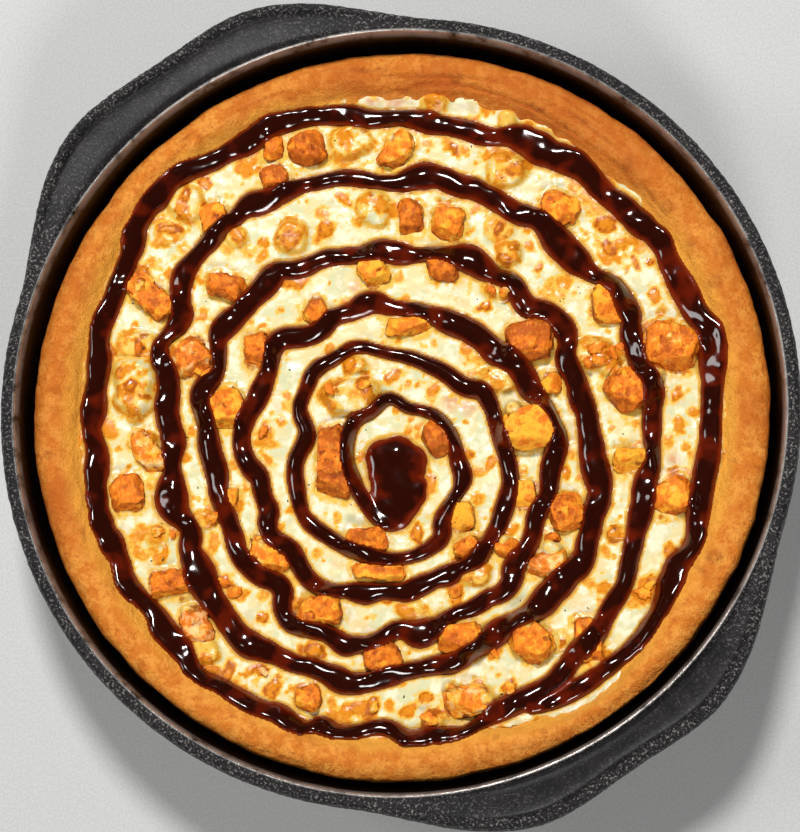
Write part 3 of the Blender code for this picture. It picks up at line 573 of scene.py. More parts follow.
def blend(tree, share, a, b):
    """Colour a where the share is 0 and b where it is 1."""
    node = add_node(tree, "ShaderNodeMix", data_type="RGBA")
    for index, value in ((0, share), (6, a), (7, b)):
        if isinstance(value, bpy.types.NodeSocket):
            tree.links.new(value, node.inputs[index])
        else:
            node.inputs[index].default_value = value if index == 0 else (*value[:3], 1.0)
    return node.outputs[2]


def relief(tree, height, depth, strength=1.0, under=None):
    """Bump of so many millimetres from a 0 to 1 height."""
    inputs = {"Height": height, "Strength": strength, "Distance": depth * METRES}
    if under:
        inputs["Normal"] = under
    return add_node(tree, "ShaderNodeBump", inputs).outputs["Normal"]


def iron_material(settings):
    """Seasoned iron: pebbly where cast, with painted grey highlights on the pebble tops, black and oily
    inside, bare on the worn edge.
    """
    material, tree, shader = new_material("seasoned_iron")
    cast, worn, oiled = stored(tree, "cast"), stored(tree, "worn"), stored(tree, "oiled")
    pebble = grain(tree, 0.85, 3.0, 0.62)
    patch = grain(tree, 7.0, 4.0, 0.6)
    base = blend(tree, shape(tree, patch, 0.38, 0.66), settings.iron, settings.iron_faded)
    # Painted highlights: light grey on the tops of the cast pebbles, thinned out in some patches.
    pebble_glint = reckon(tree, "MULTIPLY", shape(tree, pebble, 0.53, 0.66), cast)
    pebble_glint = reckon(tree, "MULTIPLY", pebble_glint, shape(tree, patch, 0.30, 0.55, 0.45, 1.0))
    base = blend(tree, pebble_glint, base, settings.iron_pebble_glint)
    base = blend(tree, oiled, base, settings.iron_oiled)
    bare = reckon(tree, "MULTIPLY", worn, shape(tree, patch, 0.25, 0.55))
    base = blend(tree, bare, base, settings.iron_worn)
    tree.links.new(base, shader.inputs["Base Color"])
    rough = shape(tree, oiled, 0.0, 1.0, 0.46, 0.16)
    rough = add_up(tree, rough, shape(tree, worn, 0.0, 1.0, 0.0, -0.1))
    tree.links.new(rough, shader.inputs["Roughness"])
    tree.links.new(shape(tree, worn, 0.0, 1.0, 0.0, 0.8), shader.inputs["Metallic"])
    shader.inputs["Specular IOR Level"].default_value = 0.2
    coarse = relief(tree, reckon(tree, "MULTIPLY", pebble, cast), 0.75, 1.0)
    fine = relief(tree, grain(tree, 0.5, 2.0), 0.04, 0.5, coarse)
    tree.links.new(fine, shader.inputs["Normal"])
    return material


def crust_material(settings):
    """Baked dough: golden with toasted patches, paler pores and an oily yellow inner edge. The toast layer
    also carries painted light, paler on the front side, and painted shade in the creases; the marks carry
    painted shade in the cracks.
    """
    material, tree, shader = new_material("baked_crust")
    inner, toast, mark = stored(tree, "inner"), stored(tree, "toast"), stored(tree, "mark")
    mottle = grain(tree, 4.5, 5.0, 0.7)
    freckle = grain(tree, 1.8, 5.0, 0.7)
    pore = grain(tree, 0.7, 2.0, 0.6)
    base = blend(tree, shape(tree, mottle, 0.42, 0.60), settings.crust_gold, settings.crust_pale)
    base = blend(tree, toast, base, settings.crust_toast)
    base = blend(tree, shape(tree, freckle, 0.48, 0.70, 0.0, 0.65), base, settings.crust_toast)
    base = blend(tree, shape(tree, inner, 0.55, 0.98, 0.0, 0.9), base, settings.crust_oily)
    base = blend(tree, shape(tree, pore, 0.62, 0.76, 0.0, 0.30), base, settings.crust_mark)
    base = blend(tree, mark, base, settings.crust_mark)
    tree.links.new(base, shader.inputs["Base Color"])
    tree.links.new(shape(tree, inner, 0.4, 1.0, 0.60, 0.34), shader.inputs["Roughness"])
    shader.inputs["Specular IOR Level"].default_value = 0.13
    wrinkle = relief(tree, grain(tree, 3.2, 6.0, 0.7), 1.35, 1.0)
    tree.links.new(relief(tree, pore, 0.32, 1.0, wrinkle), shader.inputs["Normal"])
    return material


def cheese_material(settings):
    """Melted cheese: cream, golden to orange where it browned, with dark toasted spots, painted shade at the
    feet of the chunks, and sauce stain.
    """
    material, tree, shader = new_material("melted_cheese")
    blush, brown, stain, meat = (stored(tree, name) for name in ("blush", "brown", "stain", "meat"))
    broad = grain(tree, 8.0, 3.0, 0.55)
    cloud = grain(tree, 4.2, 3.0, 0.5)
    fine = grain(tree, 1.5, 3.0, 0.6)
    base = blend(tree, shape(tree, broad, 0.42, 0.60), settings.cheese_cream, settings.cheese_cool)
    base = blend(tree, shape(tree, cloud, 0.45, 0.62, 0.0, 0.9), base, settings.cheese_white)
    pink = reckon(tree, "MULTIPLY", meat, shape(tree, fine, 0.3, 0.6, 0.4, 1.0))
    base = blend(tree, pink, base, settings.cheese_pink)
    ragged = roughened(tree, blush, fine, 0.25, 0.75, 0.17)
    base = blend(tree, shape(tree, ragged, 0.08, 0.40), base, settings.cheese_golden)
    base = blend(tree, shape(tree, ragged, 0.42, 0.76), base, settings.cheese_blush)
    burnt_and_shade = roughened(tree, brown, fine, 0.25, 0.75, 0.22)
    base = blend(tree, shape(tree, burnt_and_shade, 0.3, 0.9, 0.0, 0.95), base, settings.cheese_brown)
    base = blend(tree, stain, base, settings.sauce_stain)
    tree.links.new(base, shader.inputs["Base Color"])
    tree.links.new(shape(tree, broad, 0.35, 0.65, 0.40, 0.22), shader.inputs["Roughness"])
    shader.inputs["Subsurface Weight"].default_value = 0.05
    shader.inputs["Subsurface Radius"].default_value = (0.0012, 0.0008, 0.0004)
    shader.inputs["Specular IOR Level"].default_value = 0.26
    lumps = relief(tree, grain(tree, 3.0, 2.0, 0.5), 0.30, 1.0)
    tree.links.new(lumps, shader.inputs["Normal"])
    return material


def sauce_material(settings):
    """Thick dark sauce: almost black where deep, red-brown where thin."""
    material, tree, shader = new_material("thick_sauce")
    thin = stored(tree, "thin")
    cloudy = roughened(tree, thin, grain(tree, 4.0, 3.0), 0.3, 0.7, 0.12)
    base = blend(tree, shape(tree, cloudy, 0.05, 0.72), settings.sauce_deep, settings.sauce_red)
    base = blend(tree, shape(tree, cloudy, 0.68, 1.10), base, settings.sauce_edge)
    tree.links.new(base, shader.inputs["Base Color"])
    tree.links.new(shape(tree, thin, 0.45, 0.95, 0.10, 0.24), shader.inputs["Roughness"])
    shader.inputs["Specular IOR Level"].default_value = 0.32
    return material


def chicken_material(settings):
    """Grilled chicken: golden to orange flesh, browned in patches, seared on its edges, with painted shade in
    its cracks, pits, low parts and steep sides.
    """
    material, tree, shader = new_material("grilled_chicken")
    gold, edge, cheesy = stored(tree, "gold"), stored(tree, "edge"), stored(tree, "cheesy")
    fibre = grain(tree, 1.2, 5.0, 0.65, stretch=(1.0, 0.45, 1.0))
    patch = grain(tree, 3.2, 4.0, 0.6)
    tone = roughened(tree, gold, patch, 0.25, 0.75, 0.35)
    base = blend(tree, shape(tree, tone, 0.0, 0.40), settings.chicken_brown, settings.chicken_orange)
    base = blend(tree, shape(tree, tone, 0.42, 0.95), base, settings.chicken_gold)
    base = blend(tree, shape(tree, fibre, 0.50, 0.72, 0.0, 0.40), base, settings.chicken_light)
    # The edge layer takes the colour towards the seared colour: searing on sharp edges, and painted shade in
    # cracks, pits, grooves, low parts and steep sides.
    ragged = roughened(tree, edge, fibre, 0.3, 0.7, -0.2)
    base = blend(tree, shape(tree, ragged, 0.35, 1.0, 0.0, 0.8), base, settings.chicken_seared_and_shade)
    creamy = roughened(tree, cheesy, patch, 0.2, 0.8, 0.35)
    base = blend(tree, shape(tree, creamy, 0.40, 0.85, 0.0, 0.85), base, settings.cheese_cream)
    tree.links.new(base, shader.inputs["Base Color"])
    shader.inputs["Roughness"].default_value = 0.5
    shader.inputs["Specular IOR Level"].default_value = 0.16
    tree.links.new(relief(tree, fibre, 0.55, 1.0), shader.inputs["Normal"])
    return material


def plain_material(name, colour):
    """A dull colour with faint speckles."""
    material, tree, shader = new_material(name)
    speckle = grain(tree, 0.8, 2.0)
    base = blend(tree, shape(tree, speckle, 0.3, 0.7, 0.0, 0.3), colour, tuple(0.6 * c for c in colour[:3]))
    tree.links.new(base, shader.inputs["Base Color"])
    shader.inputs["Roughness"].default_value = 0.7
    return material


# Shapes that several pieces share


def crust_inner(bearings):
    """Where the crust meets the cheese, at an array of bearings."""
    around = np.arange(0.0, 360.0, 0.5)
    radii = np.full_like(around, CHEESE_RADIUS)
    for number, angle in enumerate(np.radians(around)):
        place = Vector((2.4 * math.cos(angle), 2.4 * math.sin(angle), 3.1))
        radii[number] += CHEESE_RAGGED * noise.noise(place)
    for side, reach in CHEESE_REACHES:
        radii += reach * on_side(around, side)
    return np.interp(bearings, around, radii, period=360.0)


def chunk_distance(x, y):
    """How far outside the nearest bare chunk each place is, from the chunks' packed footprints."""
    nearest = np.full(x.shape, np.inf)
    for outline in CHUNK_OUTLINES:
        outside = np.full(x.shape, -np.inf)
        for (ax, ay), (bx, by) in zip(outline, np.roll(outline, -1, axis=0)):
            length = math.hypot(bx - ax, by - ay)
            outside = np.maximum(outside, ((x - ax) * (by - ay) - (y - ay) * (bx - ax)) / length)
        nearest = np.minimum(nearest, outside)
    return nearest


def footprint(node):
    """The outline of a packed chunk seen from above, anticlockwise, in millimetres."""
    points = get_points(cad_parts[node])[:, :2]
    work = bmesh.new()
    for x, y in points:
        work.verts.new((x, y, 0.0))
    bmesh.ops.remove_doubles(work, verts=work.verts, dist=0.01)
    hull = sorted((v.co.x, v.co.y) for v in work.verts)
    work.free()

    def half(ordered):
        """One side of the outline, from points in order along it."""
        chain = []
        for point in ordered:
            while len(chain) > 1:
                (ax, ay), (bx, by) = chain[-2:]
                if (bx - ax) * (point[1] - ay) - (by - ay) * (point[0] - ax) > 0.0:
                    break
                chain.pop()
            chain.append(point)
        return chain[:-1]

    return np.array(half(hull) + half(hull[::-1]))


CHUNK_OUTLINES = [footprint(node) for node in CHUNK_NODES]


def mound_heights(x, y):
    """The lift of the cheese over covered chunks: flat-topped lumps with uneven sides."""
    coat, squareness = 0.8, 2.2
    raised = np.zeros(x.shape)
    wobble = level_hills(x, y, 5.0, 31)
    for view_x, view_y, length, width, rise in MOUNDS:
        mound_x, mound_y = on_pan(view_x, view_y)
        across = np.abs(x - mound_x) / (0.5 * length * VIEW_STEP[0] + coat)
        along = np.abs(y - mound_y) / (0.5 * width * VIEW_STEP[1] + coat)
        away = (across**squareness + along**squareness) ** (1 / squareness) + 0.24 * wobble
        raised = np.maximum(raised, rise * (1.0 - smooth_step(0.55, 1.15, away)))
    return raised


def browned_fields(x, y, specks=320):
    """Height, browning and blush of the browned spots: those listed, and small specks scattered."""
    draw = np.random.default_rng(73)
    spots = [(*on_pan(vx, vy), BROWNED_STEP * size, 0.1 * strength) for vx, vy, size, strength in BROWNED]
    for _ in range(specks):
        spots.append((*random_place(draw, 103.0), draw.uniform(0.4, 1.1), draw.uniform(0.1, 0.6)))
    height, brown, blush = np.zeros(x.shape), np.zeros(x.shape), np.zeros(x.shape)
    wobble = level_hills(x, y, 2.6, 77) + 0.6 * level_hills(x, y, 1.3, 78)
    for at_x, at_y, size, strength in spots:
        reach = 3.6 * size + 1.0
        near = (np.abs(x - at_x) < reach) & (np.abs(y - at_y) < reach)
        turn, stretch = draw.uniform(0.0, math.pi), draw.uniform(1.0, 1.45)
        off_x, off_y = x[near] - at_x, y[near] - at_y
        along = (off_x * math.cos(turn) + off_y * math.sin(turn)) / stretch
        across = (off_y * math.cos(turn) - off_x * math.sin(turn)) * stretch**0.7
        away = np.hypot(along, across) / size + 0.46 * wobble[near]
        height[near] = np.maximum(height[near], 0.26 * min(size, 2.4) * strength * hump(away, 1.25))
        toasted = 0.35 * smooth_step(1.0, 0.5, away) + 0.65 * hump(np.abs(away - 0.72), 0.42)
        brown[near] = np.maximum(brown[near], max(0.0, strength - 0.35) * 2.1 * toasted)
        core = (0.34 + 0.72 * strength) * smooth_step(1.35, 0.75, away)
        blush[near] = np.maximum(blush[near], np.maximum(core, (0.25 + 0.25 * strength) * hump(away, 2.3)))
    return height, brown, blush


def cheese_fields(x, y):
    """The cheese's height, browning with painted shade at the chunks' feet, blush and meat tint at arrays of
    places.
    """

    def rolling(size, seed):
        return level_hills(x, y, size, seed)

    bearing = bearing_of(x, y)
    from_crust = crust_inner(bearing) - np.hypot(x, y)
    from_chunk = np.maximum(chunk_distance(x, y), 0.0)
    raised = mound_heights(x, y)
    spot_height, brown, blush = browned_fields(x, y)
    height = CHEESE_LEVEL + 0.7 * rolling(26.0, 1) + 0.5 * rolling(10.0, 2)
    height += 0.42 * rolling(4.6, 3) + 0.08 * rolling(2.2, 4)
    lumpy = smooth_step(0.4, 1.6, raised)
    height += raised + spot_height + lumpy * (0.55 * rolling(3.6, 18) + 0.16 * rolling(1.8, 19))
    height += 1.1 * hump(from_chunk, 2.6) * (0.6 + 0.4 * rolling(3.0, 5))
    height += (1.5 + 0.9 * rolling(3.4, 6)) * smooth_step(4.0, 0.0, from_crust)
    ragged, uneven = 0.25 * rolling(2.4, 8), 0.3 * rolling(1.8, 9)
    for view_x, view_y, size, rise in CHEESE_LAPS:
        lap_x, lap_y = on_pan(view_x, view_y)
        away = np.hypot(x - lap_x, y - lap_y) / (ROUND_STEP * size) + ragged
        lap = rise * (1.0 - smooth_step(0.6, 1.25, away)) + uneven
        height = np.maximum(height, CHEESE_LEVEL + lap)
    spots = rolling(5.0, 21) + 0.75 * rolling(2.3, 22) + 0.4 * rolling(1.2, 23)
    amount = -0.66 + 0.32 * rolling(22.0, 24) + 0.55 * hump(from_chunk, 5.0)
    amount += 0.15 * lumpy + 0.7 * smooth_step(5.0, 0.5, from_crust) * (1.0 - on_side(bearing, CREAMY_SIDE))
    blush = np.maximum(blush, smooth_step(0.0, 1.15, spots + amount))
    rim = smooth_step(0.3, 0.9, raised) * smooth_step(3.0, 1.6, raised)
    blush = np.maximum(blush, lumpy * (0.16 + 0.34 * rolling(4.0, 25)) + 0.42 * rim)
    blush = np.maximum(blush, 0.48 * hump(from_chunk, 3.8) * (0.8 + 0.4 * rolling(3.0, 27)))
    brown = np.maximum(brown, 0.8 * smooth_step(0.85, 1.5, spots + amount))
    brown = np.maximum(brown, 0.7 * lumpy * smooth_step(0.35, 0.8, rolling(3.2, 28)))
    # Painted shade: the crease where the cheese meets a bare chunk is darkened as if browned.
    chunk_foot_shade = hump(from_chunk, 1.5) * smooth_step(-0.35, 0.35, rolling(4.0, 29))
    brown = np.maximum(brown, 0.75 * chunk_foot_shade)
    meat = 0.25 * smooth_step(0.45, 0.9, rolling(8.0, 16))
    ragged = 0.3 * rolling(2.0, 26)
    for view_x, view_y, size in PINK_PLACES:
        pink_x, pink_y = on_pan(view_x, view_y)
        away = np.hypot(x - pink_x, y - pink_y) / (ROUND_STEP * size) + ragged
        meat = np.maximum(meat, hump(away, 1.5))
    return height, brown, blush, meat


def sauce_line(step=0.4):
    """Evenly spaced points along the poured sauce with its half width and height at each."""
    readings = np.array([(*on_pan(x, y), 0.5 * width * VIEW_STEP[0]) for x, y, width in SAUCE_PATH])
    eased = 0.5 * readings + 0.25 * (np.roll(readings, 1, axis=0) + np.roll(readings, -1, axis=0))
    eased[0], eased[-1] = readings[0], readings[-1]
    line = rounded(0.35 * eased + 0.65 * readings, 2)
    travelled = np.concatenate([[0.0], np.cumsum(np.hypot(*np.diff(line[:, :2], axis=0).T))])
    even = np.arange(0.0, travelled[-1], step)
    x, y, half = (np.interp(even, travelled, column) for column in line.T)
    along = np.stack([even, np.zeros_like(even), np.zeros_like(even)], axis=1)
    half = half * (1.10 + 0.08 * hills(along, 3.4, 44))
    height = 1.05 + 0.34 * half + 0.42 * hills(along, 7.0, 45)
    limit = crust_inner(bearing_of(x, y)) - half + 3.0
    pull = np.minimum(1.0, limit / np.maximum(np.hypot(x, y), 1.0))
    return x * pull, y * pull, half, height


def pool_spots():
    """Round spots that fill the pool in the middle: the place, half width and height of each."""
    outline = np.array([on_pan(*spot) for spot in POOL_OUTLINE])
    middle = outline.mean(axis=0)
    for share in np.arange(0.0, 1.0, 0.12):
        for corner, after in zip(outline, np.roll(outline, -1, axis=0)):
            for along in np.arange(0.0, 1.0, 0.2):
                edge = corner + along * (after - corner) - middle
                yield (*(middle + share * edge * 0.62), max(1.6, 0.36 * math.hypot(*edge)), POOL_HEIGHT)


def sauce_field(axis):
    """How deep inside the sauce each place of a square grid is, and how tall the sauce stands there.

    The depth is 1 on the sauce's middle line, 0 on its edge and below 0 outside it.
    """
    depth = np.full((len(axis), len(axis)), -2.0)
    tall = np.zeros(depth.shape)
    for x, y, half, height in (*zip(*sauce_line()), *pool_spots()):
        reach = 1.75 * half
        low_x, high_x = np.searchsorted(axis, (x - reach, x + reach))
        low_y, high_y = np.searchsorted(axis, (y - reach, y + reach))
        gx, gy = np.meshgrid(axis[low_x:high_x], axis[low_y:high_y], indexing="ij")
        inside = 1.0 - ((gx - x) ** 2 + (gy - y) ** 2) / half**2
        window = depth[low_x:high_x, low_y:high_y]
        higher = inside > window
        window[higher] = inside[higher]
        tall[low_x:high_x, low_y:high_y][higher] = height
    step = axis[1] - axis[0]
    return blurred(depth, 0.35 / step), blurred(tall, 1.2 / step)


def sauce_ground(gx, gy, wanted):
    """The height of what the sauce lies on: the cheese, or the crust or a chunk where it stands higher."""
    ground = cheese_fields(gx, gy)[0]
    on_crust = wanted & (np.hypot(gx, gy) > crust_inner(bearing_of(gx, gy)) - 2.5)
    near_chunk = wanted & (chunk_distance(gx, gy) < 2.0)
    for name, places in (("crust_dough", on_crust), *((name, near_chunk) for name in CHUNK_PIECES)):
        faces = faces_of(name)
        low, high = (Vector(bpy.data.objects[name].bound_box[corner]) / METRES for corner in (0, 6))
        over = places & (gx >= low.x) & (gx <= high.x) & (gy >= low.y) & (gy <= high.y)
        for i, j in np.argwhere(over):
            hit, _ = drop_onto(faces, gx[i, j], gy[i, j])
            if hit:
                ground[i, j] = max(ground[i, j], hit.z / METRES)
    return ground


def blurred(values, spread):
    """A two-way Gaussian blur with its spread in grid cells."""
    reach = max(1, int(3 * spread))
    weights = np.exp(-0.5 * (np.arange(-reach, reach + 1) / max(spread, 1e-6)) ** 2)
    weights /= weights.sum()
    for axis in (0, 1):
        padded = np.pad(values, [(reach, reach) if a == axis else (0, 0) for a in (0, 1)], mode="edge")
        values = sum(
            weight * np.take(padded, range(k, k + values.shape[axis]), axis=axis)
            for k, weight in enumerate(weights)
        )
    return values


def widest(values, reach):
    """The highest value within reach cells of each cell."""
    steps = int(math.ceil(reach))
    height, width = values.shape
    padded = np.pad(values, steps, mode="edge")
    found = values.copy()
    for i in range(-steps, steps + 1):
        for j in range(-steps, steps + 1):
            if i * i + j * j <= reach * reach:
                found = np.maximum(found, padded[steps + i :, steps + j :][:height, :width])
    return found


def grid_points(piece, axis):
    """The column, the row and the place of each vertex of a fresh square grid."""
    columns, rows = grid_order(piece)
    return columns, rows, axis[columns], axis[rows]


def square_axis(half_width, cell):
    """The places of a square grid's lines along one side, about a cell apart."""
    return np.linspace(-half_width, half_width, int(2 * half_width / cell) + 1)


def drop_faces(piece, wanted):
    """Deletes the vertices that aren't wanted, with their faces."""
    work = bmesh.new()
    work.from_mesh(piece.data)
    work.verts.ensure_lookup_table()
    bmesh.ops.delete(work, geom=[v for v, keep in zip(work.verts, wanted) if not keep], context="VERTS")
    bmesh.ops.delete(work, geom=[v for v in work.verts if not v.link_faces], context="VERTS")
    work.to_mesh(piece.data)
    work.free()


# Settings


def length_setting(name, description, default):
    return bpy.props.FloatProperty(name=name, description=description, default=default, min=0.0)


def colour_setting(name, description, default):
    return bpy.props.FloatVectorProperty(
        name=name, description=description, default=default, subtype="COLOR", size=3, min=0.0, max=1.0
    )


class PanSettings(bpy.types.PropertyGroup):
    """Sizes and colours of the iron pan."""

    rim_radius: length_setting("Rim radius", "Outer radius of the rim, in millimetres", 130.0)
    height: length_setting("Height", "Height of the rim over the table, in millimetres", 46.0)
    stations: bpy.props.IntProperty(name="Stations", description="Faces round the pan", default=1200)
    iron: colour_setting("Iron", "Black seasoned iron", (0.0075, 0.0065, 0.0068))
    iron_faded: colour_setting("Faded iron", "Iron where the seasoning is thinner", (0.0135, 0.0112, 0.0115))
    # Painted highlight colour for the tops of the cast pebbles.
    iron_pebble_glint: colour_setting("Fleck", "Tops of the cast pebbles", (0.21, 0.195, 0.185))
    iron_oiled: colour_setting("Oiled iron", "Inside wall, black with oil", (0.0016, 0.0009, 0.0007))
    iron_worn: colour_setting("Worn edge", "Bare metal along the inner edge", (0.55, 0.50, 0.46))


class CrustSettings(bpy.types.PropertyGroup):
    """Sizes and colours of the crust."""

    radius: length_setting("Radius", "Outer radius of the crust, in millimetres", 121.0)
    stations: bpy.props.IntProperty(name="Stations", description="Faces round the crust", default=900)
    crust_gold: colour_setting("Gold", "Golden baked dough", (0.64, 0.186, 0.019))
    crust_pale: colour_setting("Pale", "Lighter patches", (0.78, 0.300, 0.046))
    crust_toast: colour_setting("Toast", "Darker toasted patches", (0.46, 0.100, 0.011))
    crust_oily: colour_setting("Oily edge", "Yellow fried inner edge", (0.88, 0.385, 0.048))
    crust_mark: colour_setting("Mark", "Burnt specks and bubbles", (0.20, 0.035, 0.005))


class CheeseSettings(bpy.types.PropertyGroup):
    """Sizes and colours of the cheese."""

    cell: length_setting("Cell", "Size of the cheese's faces, in millimetres", 0.66)
    cheese_cream: colour_setting("Cream", "Warm cream cheese", (0.715, 0.58, 0.285))
    cheese_cool: colour_setting("Cool cream", "Cooler, clearer cheese", (0.61, 0.59, 0.345))
    cheese_white: colour_setting("White", "Whitest patches", (0.80, 0.725, 0.51))
    cheese_pink: colour_setting("Pink", "Meat and tomato showing through", (0.62, 0.30, 0.15))
    cheese_golden: colour_setting("Golden", "Lightly coloured cheese", (0.74, 0.45, 0.068))
    cheese_blush: colour_setting("Blush", "Orange browning", (0.66, 0.222, 0.010))
    # Toasted spots, also used for the painted shade at the feet of the chunks.
    cheese_brown: colour_setting("Brown", "Toasted spots", (0.36, 0.078, 0.004))
    sauce_stain: colour_setting("Sauce stain", "Cheese stained by sauce", (0.26, 0.045, 0.006))


class SauceSettings(bpy.types.PropertyGroup):
    """Sizes and colours of the sauce spiral."""

    cell: length_setting("Cell", "Size of the sauce's faces, in millimetres", 0.60)
    sauce_deep: colour_setting("Deep", "Thick sauce", (0.020, 0.0020, 0.0005))
    sauce_red: colour_setting("Red", "Sauce a little thinner", (0.120, 0.0085, 0.0010))
    sauce_edge: colour_setting("Edge", "Thinnest sauce at the edge", (0.17, 0.019, 0.002))


class ChickenSettings(bpy.types.PropertyGroup):
    """Sizes and colours of the chicken chunks."""

    voxel: length_setting("Voxel", "Size of the faces of a chunk, in millimetres", 0.42)
    chicken_gold: colour_setting("Gold", "Golden chunks", (0.95, 0.41, 0.026))
    chicken_brown: colour_setting("Brown", "Well grilled chunks", (0.46, 0.090, 0.005))
    chicken_orange: colour_setting("Orange", "Orange patches", (0.76, 0.180, 0.009))
    chicken_light: colour_setting("Light", "Pale fibres", (0.97, 0.47, 0.050))
    # Seared edges, also used for painted shade in cracks, pits and on the lower and steep sides.
    chicken_seared_and_shade: colour_setting("Seared", "Browned edges and cracks", (0.22, 0.035, 0.004))
    cheese_cream: colour_setting("Cheese", "Cheese clinging to a chunk", (0.86, 0.66, 0.32))


class HerbSettings(bpy.types.PropertyGroup):
    """Count and colour of the herb flecks."""

    scattered: bpy.props.IntProperty(name="Scattered", description="Flecks placed at random", default=70)
    herb: colour_setting("Herb", "Dried herbs", (0.035, 0.030, 0.010))


class StageSettings(bpy.types.PropertyGroup):
    """Camera and lights."""

    tilt: bpy.props.FloatProperty(
        name="Tilt", description="How far the camera leans from straight down",
        default=math.radians(10.0), subtype="ANGLE",
    )
    azimuth: bpy.props.FloatProperty(
        name="Azimuth", description="Way the camera leans, from the front to the right",
        default=math.radians(27.0), subtype="ANGLE",
    )
    distance: bpy.props.FloatProperty(
        name="Distance", description="Camera to the rim's plane", default=0.85, unit="LENGTH"
    )
    lens: length_setting("Lens", "Focal length, in millimetres", 114.2)
    floor: colour_setting("Floor", "Pale floor", (0.50, 0.50, 0.49))
    air: colour_setting("Air", "Light that comes from all round", (0.90, 0.95, 1.0))


# Pieces


def pan_outline(bearings, rim_radius):
    """The pan's outer radius at each bearing, and how much of a handle there is, from 0 to 1."""
    outline = np.full_like(bearings, rim_radius)
    share = np.zeros_like(bearings)
    for axis, reach, hollow, lean in HANDLES:
        off_axis = (bearings - axis + 180.0) % 360.0 - 180.0
        here = hump(np.maximum(0.0, np.abs(off_axis) - HANDLE_HALF_WIDTH), HANDLE_FADE)
        share += here
        outline += (reach + lean * off_axis) * here
        outline -= hollow * hump(np.abs(off_axis), HANDLE_HALF_WIDTH + 2.0)
    return outline, share


def pan_profile(outline, share, rim_radius, top):
    """The pan's rings, from the middle of its underside over the rim to the middle of its floor."""

    def plain(radius, height):
        return np.full_like(outline, radius), np.full_like(outline, height)

    def blended(at_rim, at_handle):
        return at_rim * (1 - share) + at_handle * share

    def bead(radius, height, inset, handle_height):
        """A ring of the rim's bead, which swells out to an inset from the outline of the handles."""
        swollen = outline - (rim_radius - radius) * (1 - share) - inset * share
        return swollen, blended(height, handle_height)

    def dish(radius, height, handle_radius, handle_height):
        """A ring on the inner side of the rim, where each handle is dished."""
        return blended(radius, handle_radius), blended(height, handle_height)

    rings = [
        plain(60.0, 0.0), plain(112.0, 0.0), plain(116.0, 0.6), plain(118.4, 8.0), plain(124.4, 32.0),
        bead(125.6, 35.0, 10.0, 34.6), bead(127.4, 35.9, 4.0, 35.0), bead(129.2, 37.2, 1.2, 36.0),
        bead(130.0, 39.2, 0.0, 38.2), bead(130.0, 43.0, 0.0, 42.7), bead(129.2, 45.2, 1.0, 44.7),
        bead(128.2, top, 2.4, 45.4), bead(127.4, top, 3.9, 44.8), bead(126.9, top, 5.0, 43.4),
        bead(126.5, top, 6.4, 43.0), dish(126.2, top, 129.5, 43.0), dish(125.9, top, 127.4, 43.7),
        dish(125.4, top, 126.0, top - 0.6), plain(124.7, top - 0.2), plain(124.4, top - 1.4),
        plain(121.6, 30.0), plain(118.4, 10.0), plain(116.6, 5.6), plain(112.0, 4.5), plain(60.0, 4.5),
    ]
    return rounded(np.array(rings), 1)


class PIZZA_OT_pan(bpy.types.Operator):
    """Makes the cast iron pan with its pebbly rim and tab handles"""

    bl_idname = "pizza.pan"
    bl_label = "Pan"

    def execute(self, context):
        settings = context.scene.pizza_pan
        bearings = bearings_round(settings.stations)
        outline, share = pan_outline(bearings, settings.rim_radius)
        profile = pan_profile(outline, share, settings.rim_radius, settings.height)
        pan = turned_shell("pan_iron", profile, bearings)
        points, normals = get_points(pan), get_normals(pan)
        radius, height = np.hypot(points[:, 0], points[:, 1]), points[:, 2]
        bearing = bearing_of(points[:, 0], points[:, 1])
        here = np.interp(bearing, bearings, share, period=360.0)
        edge = np.interp(bearing, bearings, outline, period=360.0)
        dished = here * smooth_step(125.6, 126.4, radius) * smooth_step(edge - 3.6, edge - 5.2, radius)
        cast = smooth_step(124.6, 126.0, radius)
        cast = np.where(height < 34.0, 0.6 * (normals[:, 2] < 0.5), cast)
        cast = np.clip(cast - 0.85 * dished * (height > 40.0), 0.0, 1.0)
        inside_wall = (radius < 124.6) & (height > 4.0) & (normals[:, 2] > -0.2)
        worn = smooth_step(0.9, 0.1, np.abs(radius - 124.75)) * smooth_step(44.4, 45.3, height)
        pebbles = 0.16 * hills(points, 1.5, 61) + 0.08 * hills(points, 0.9, 62) - 0.14
        ripple = 0.05 * hills(points, 6.0, 63) - 0.05
        shaken = points + normals * (pebbles * cast + ripple)[:, None]
        set_points(pan, np.clip(shaken, np.array(CAD_BOX[0]) / METRES, np.array(CAD_BOX[1]) / METRES))
        store(pan, cast=cast, worn=worn, oiled=inside_wall)
        finish_piece(pan, iron_material(settings), ["pan"])
        return {"FINISHED"}


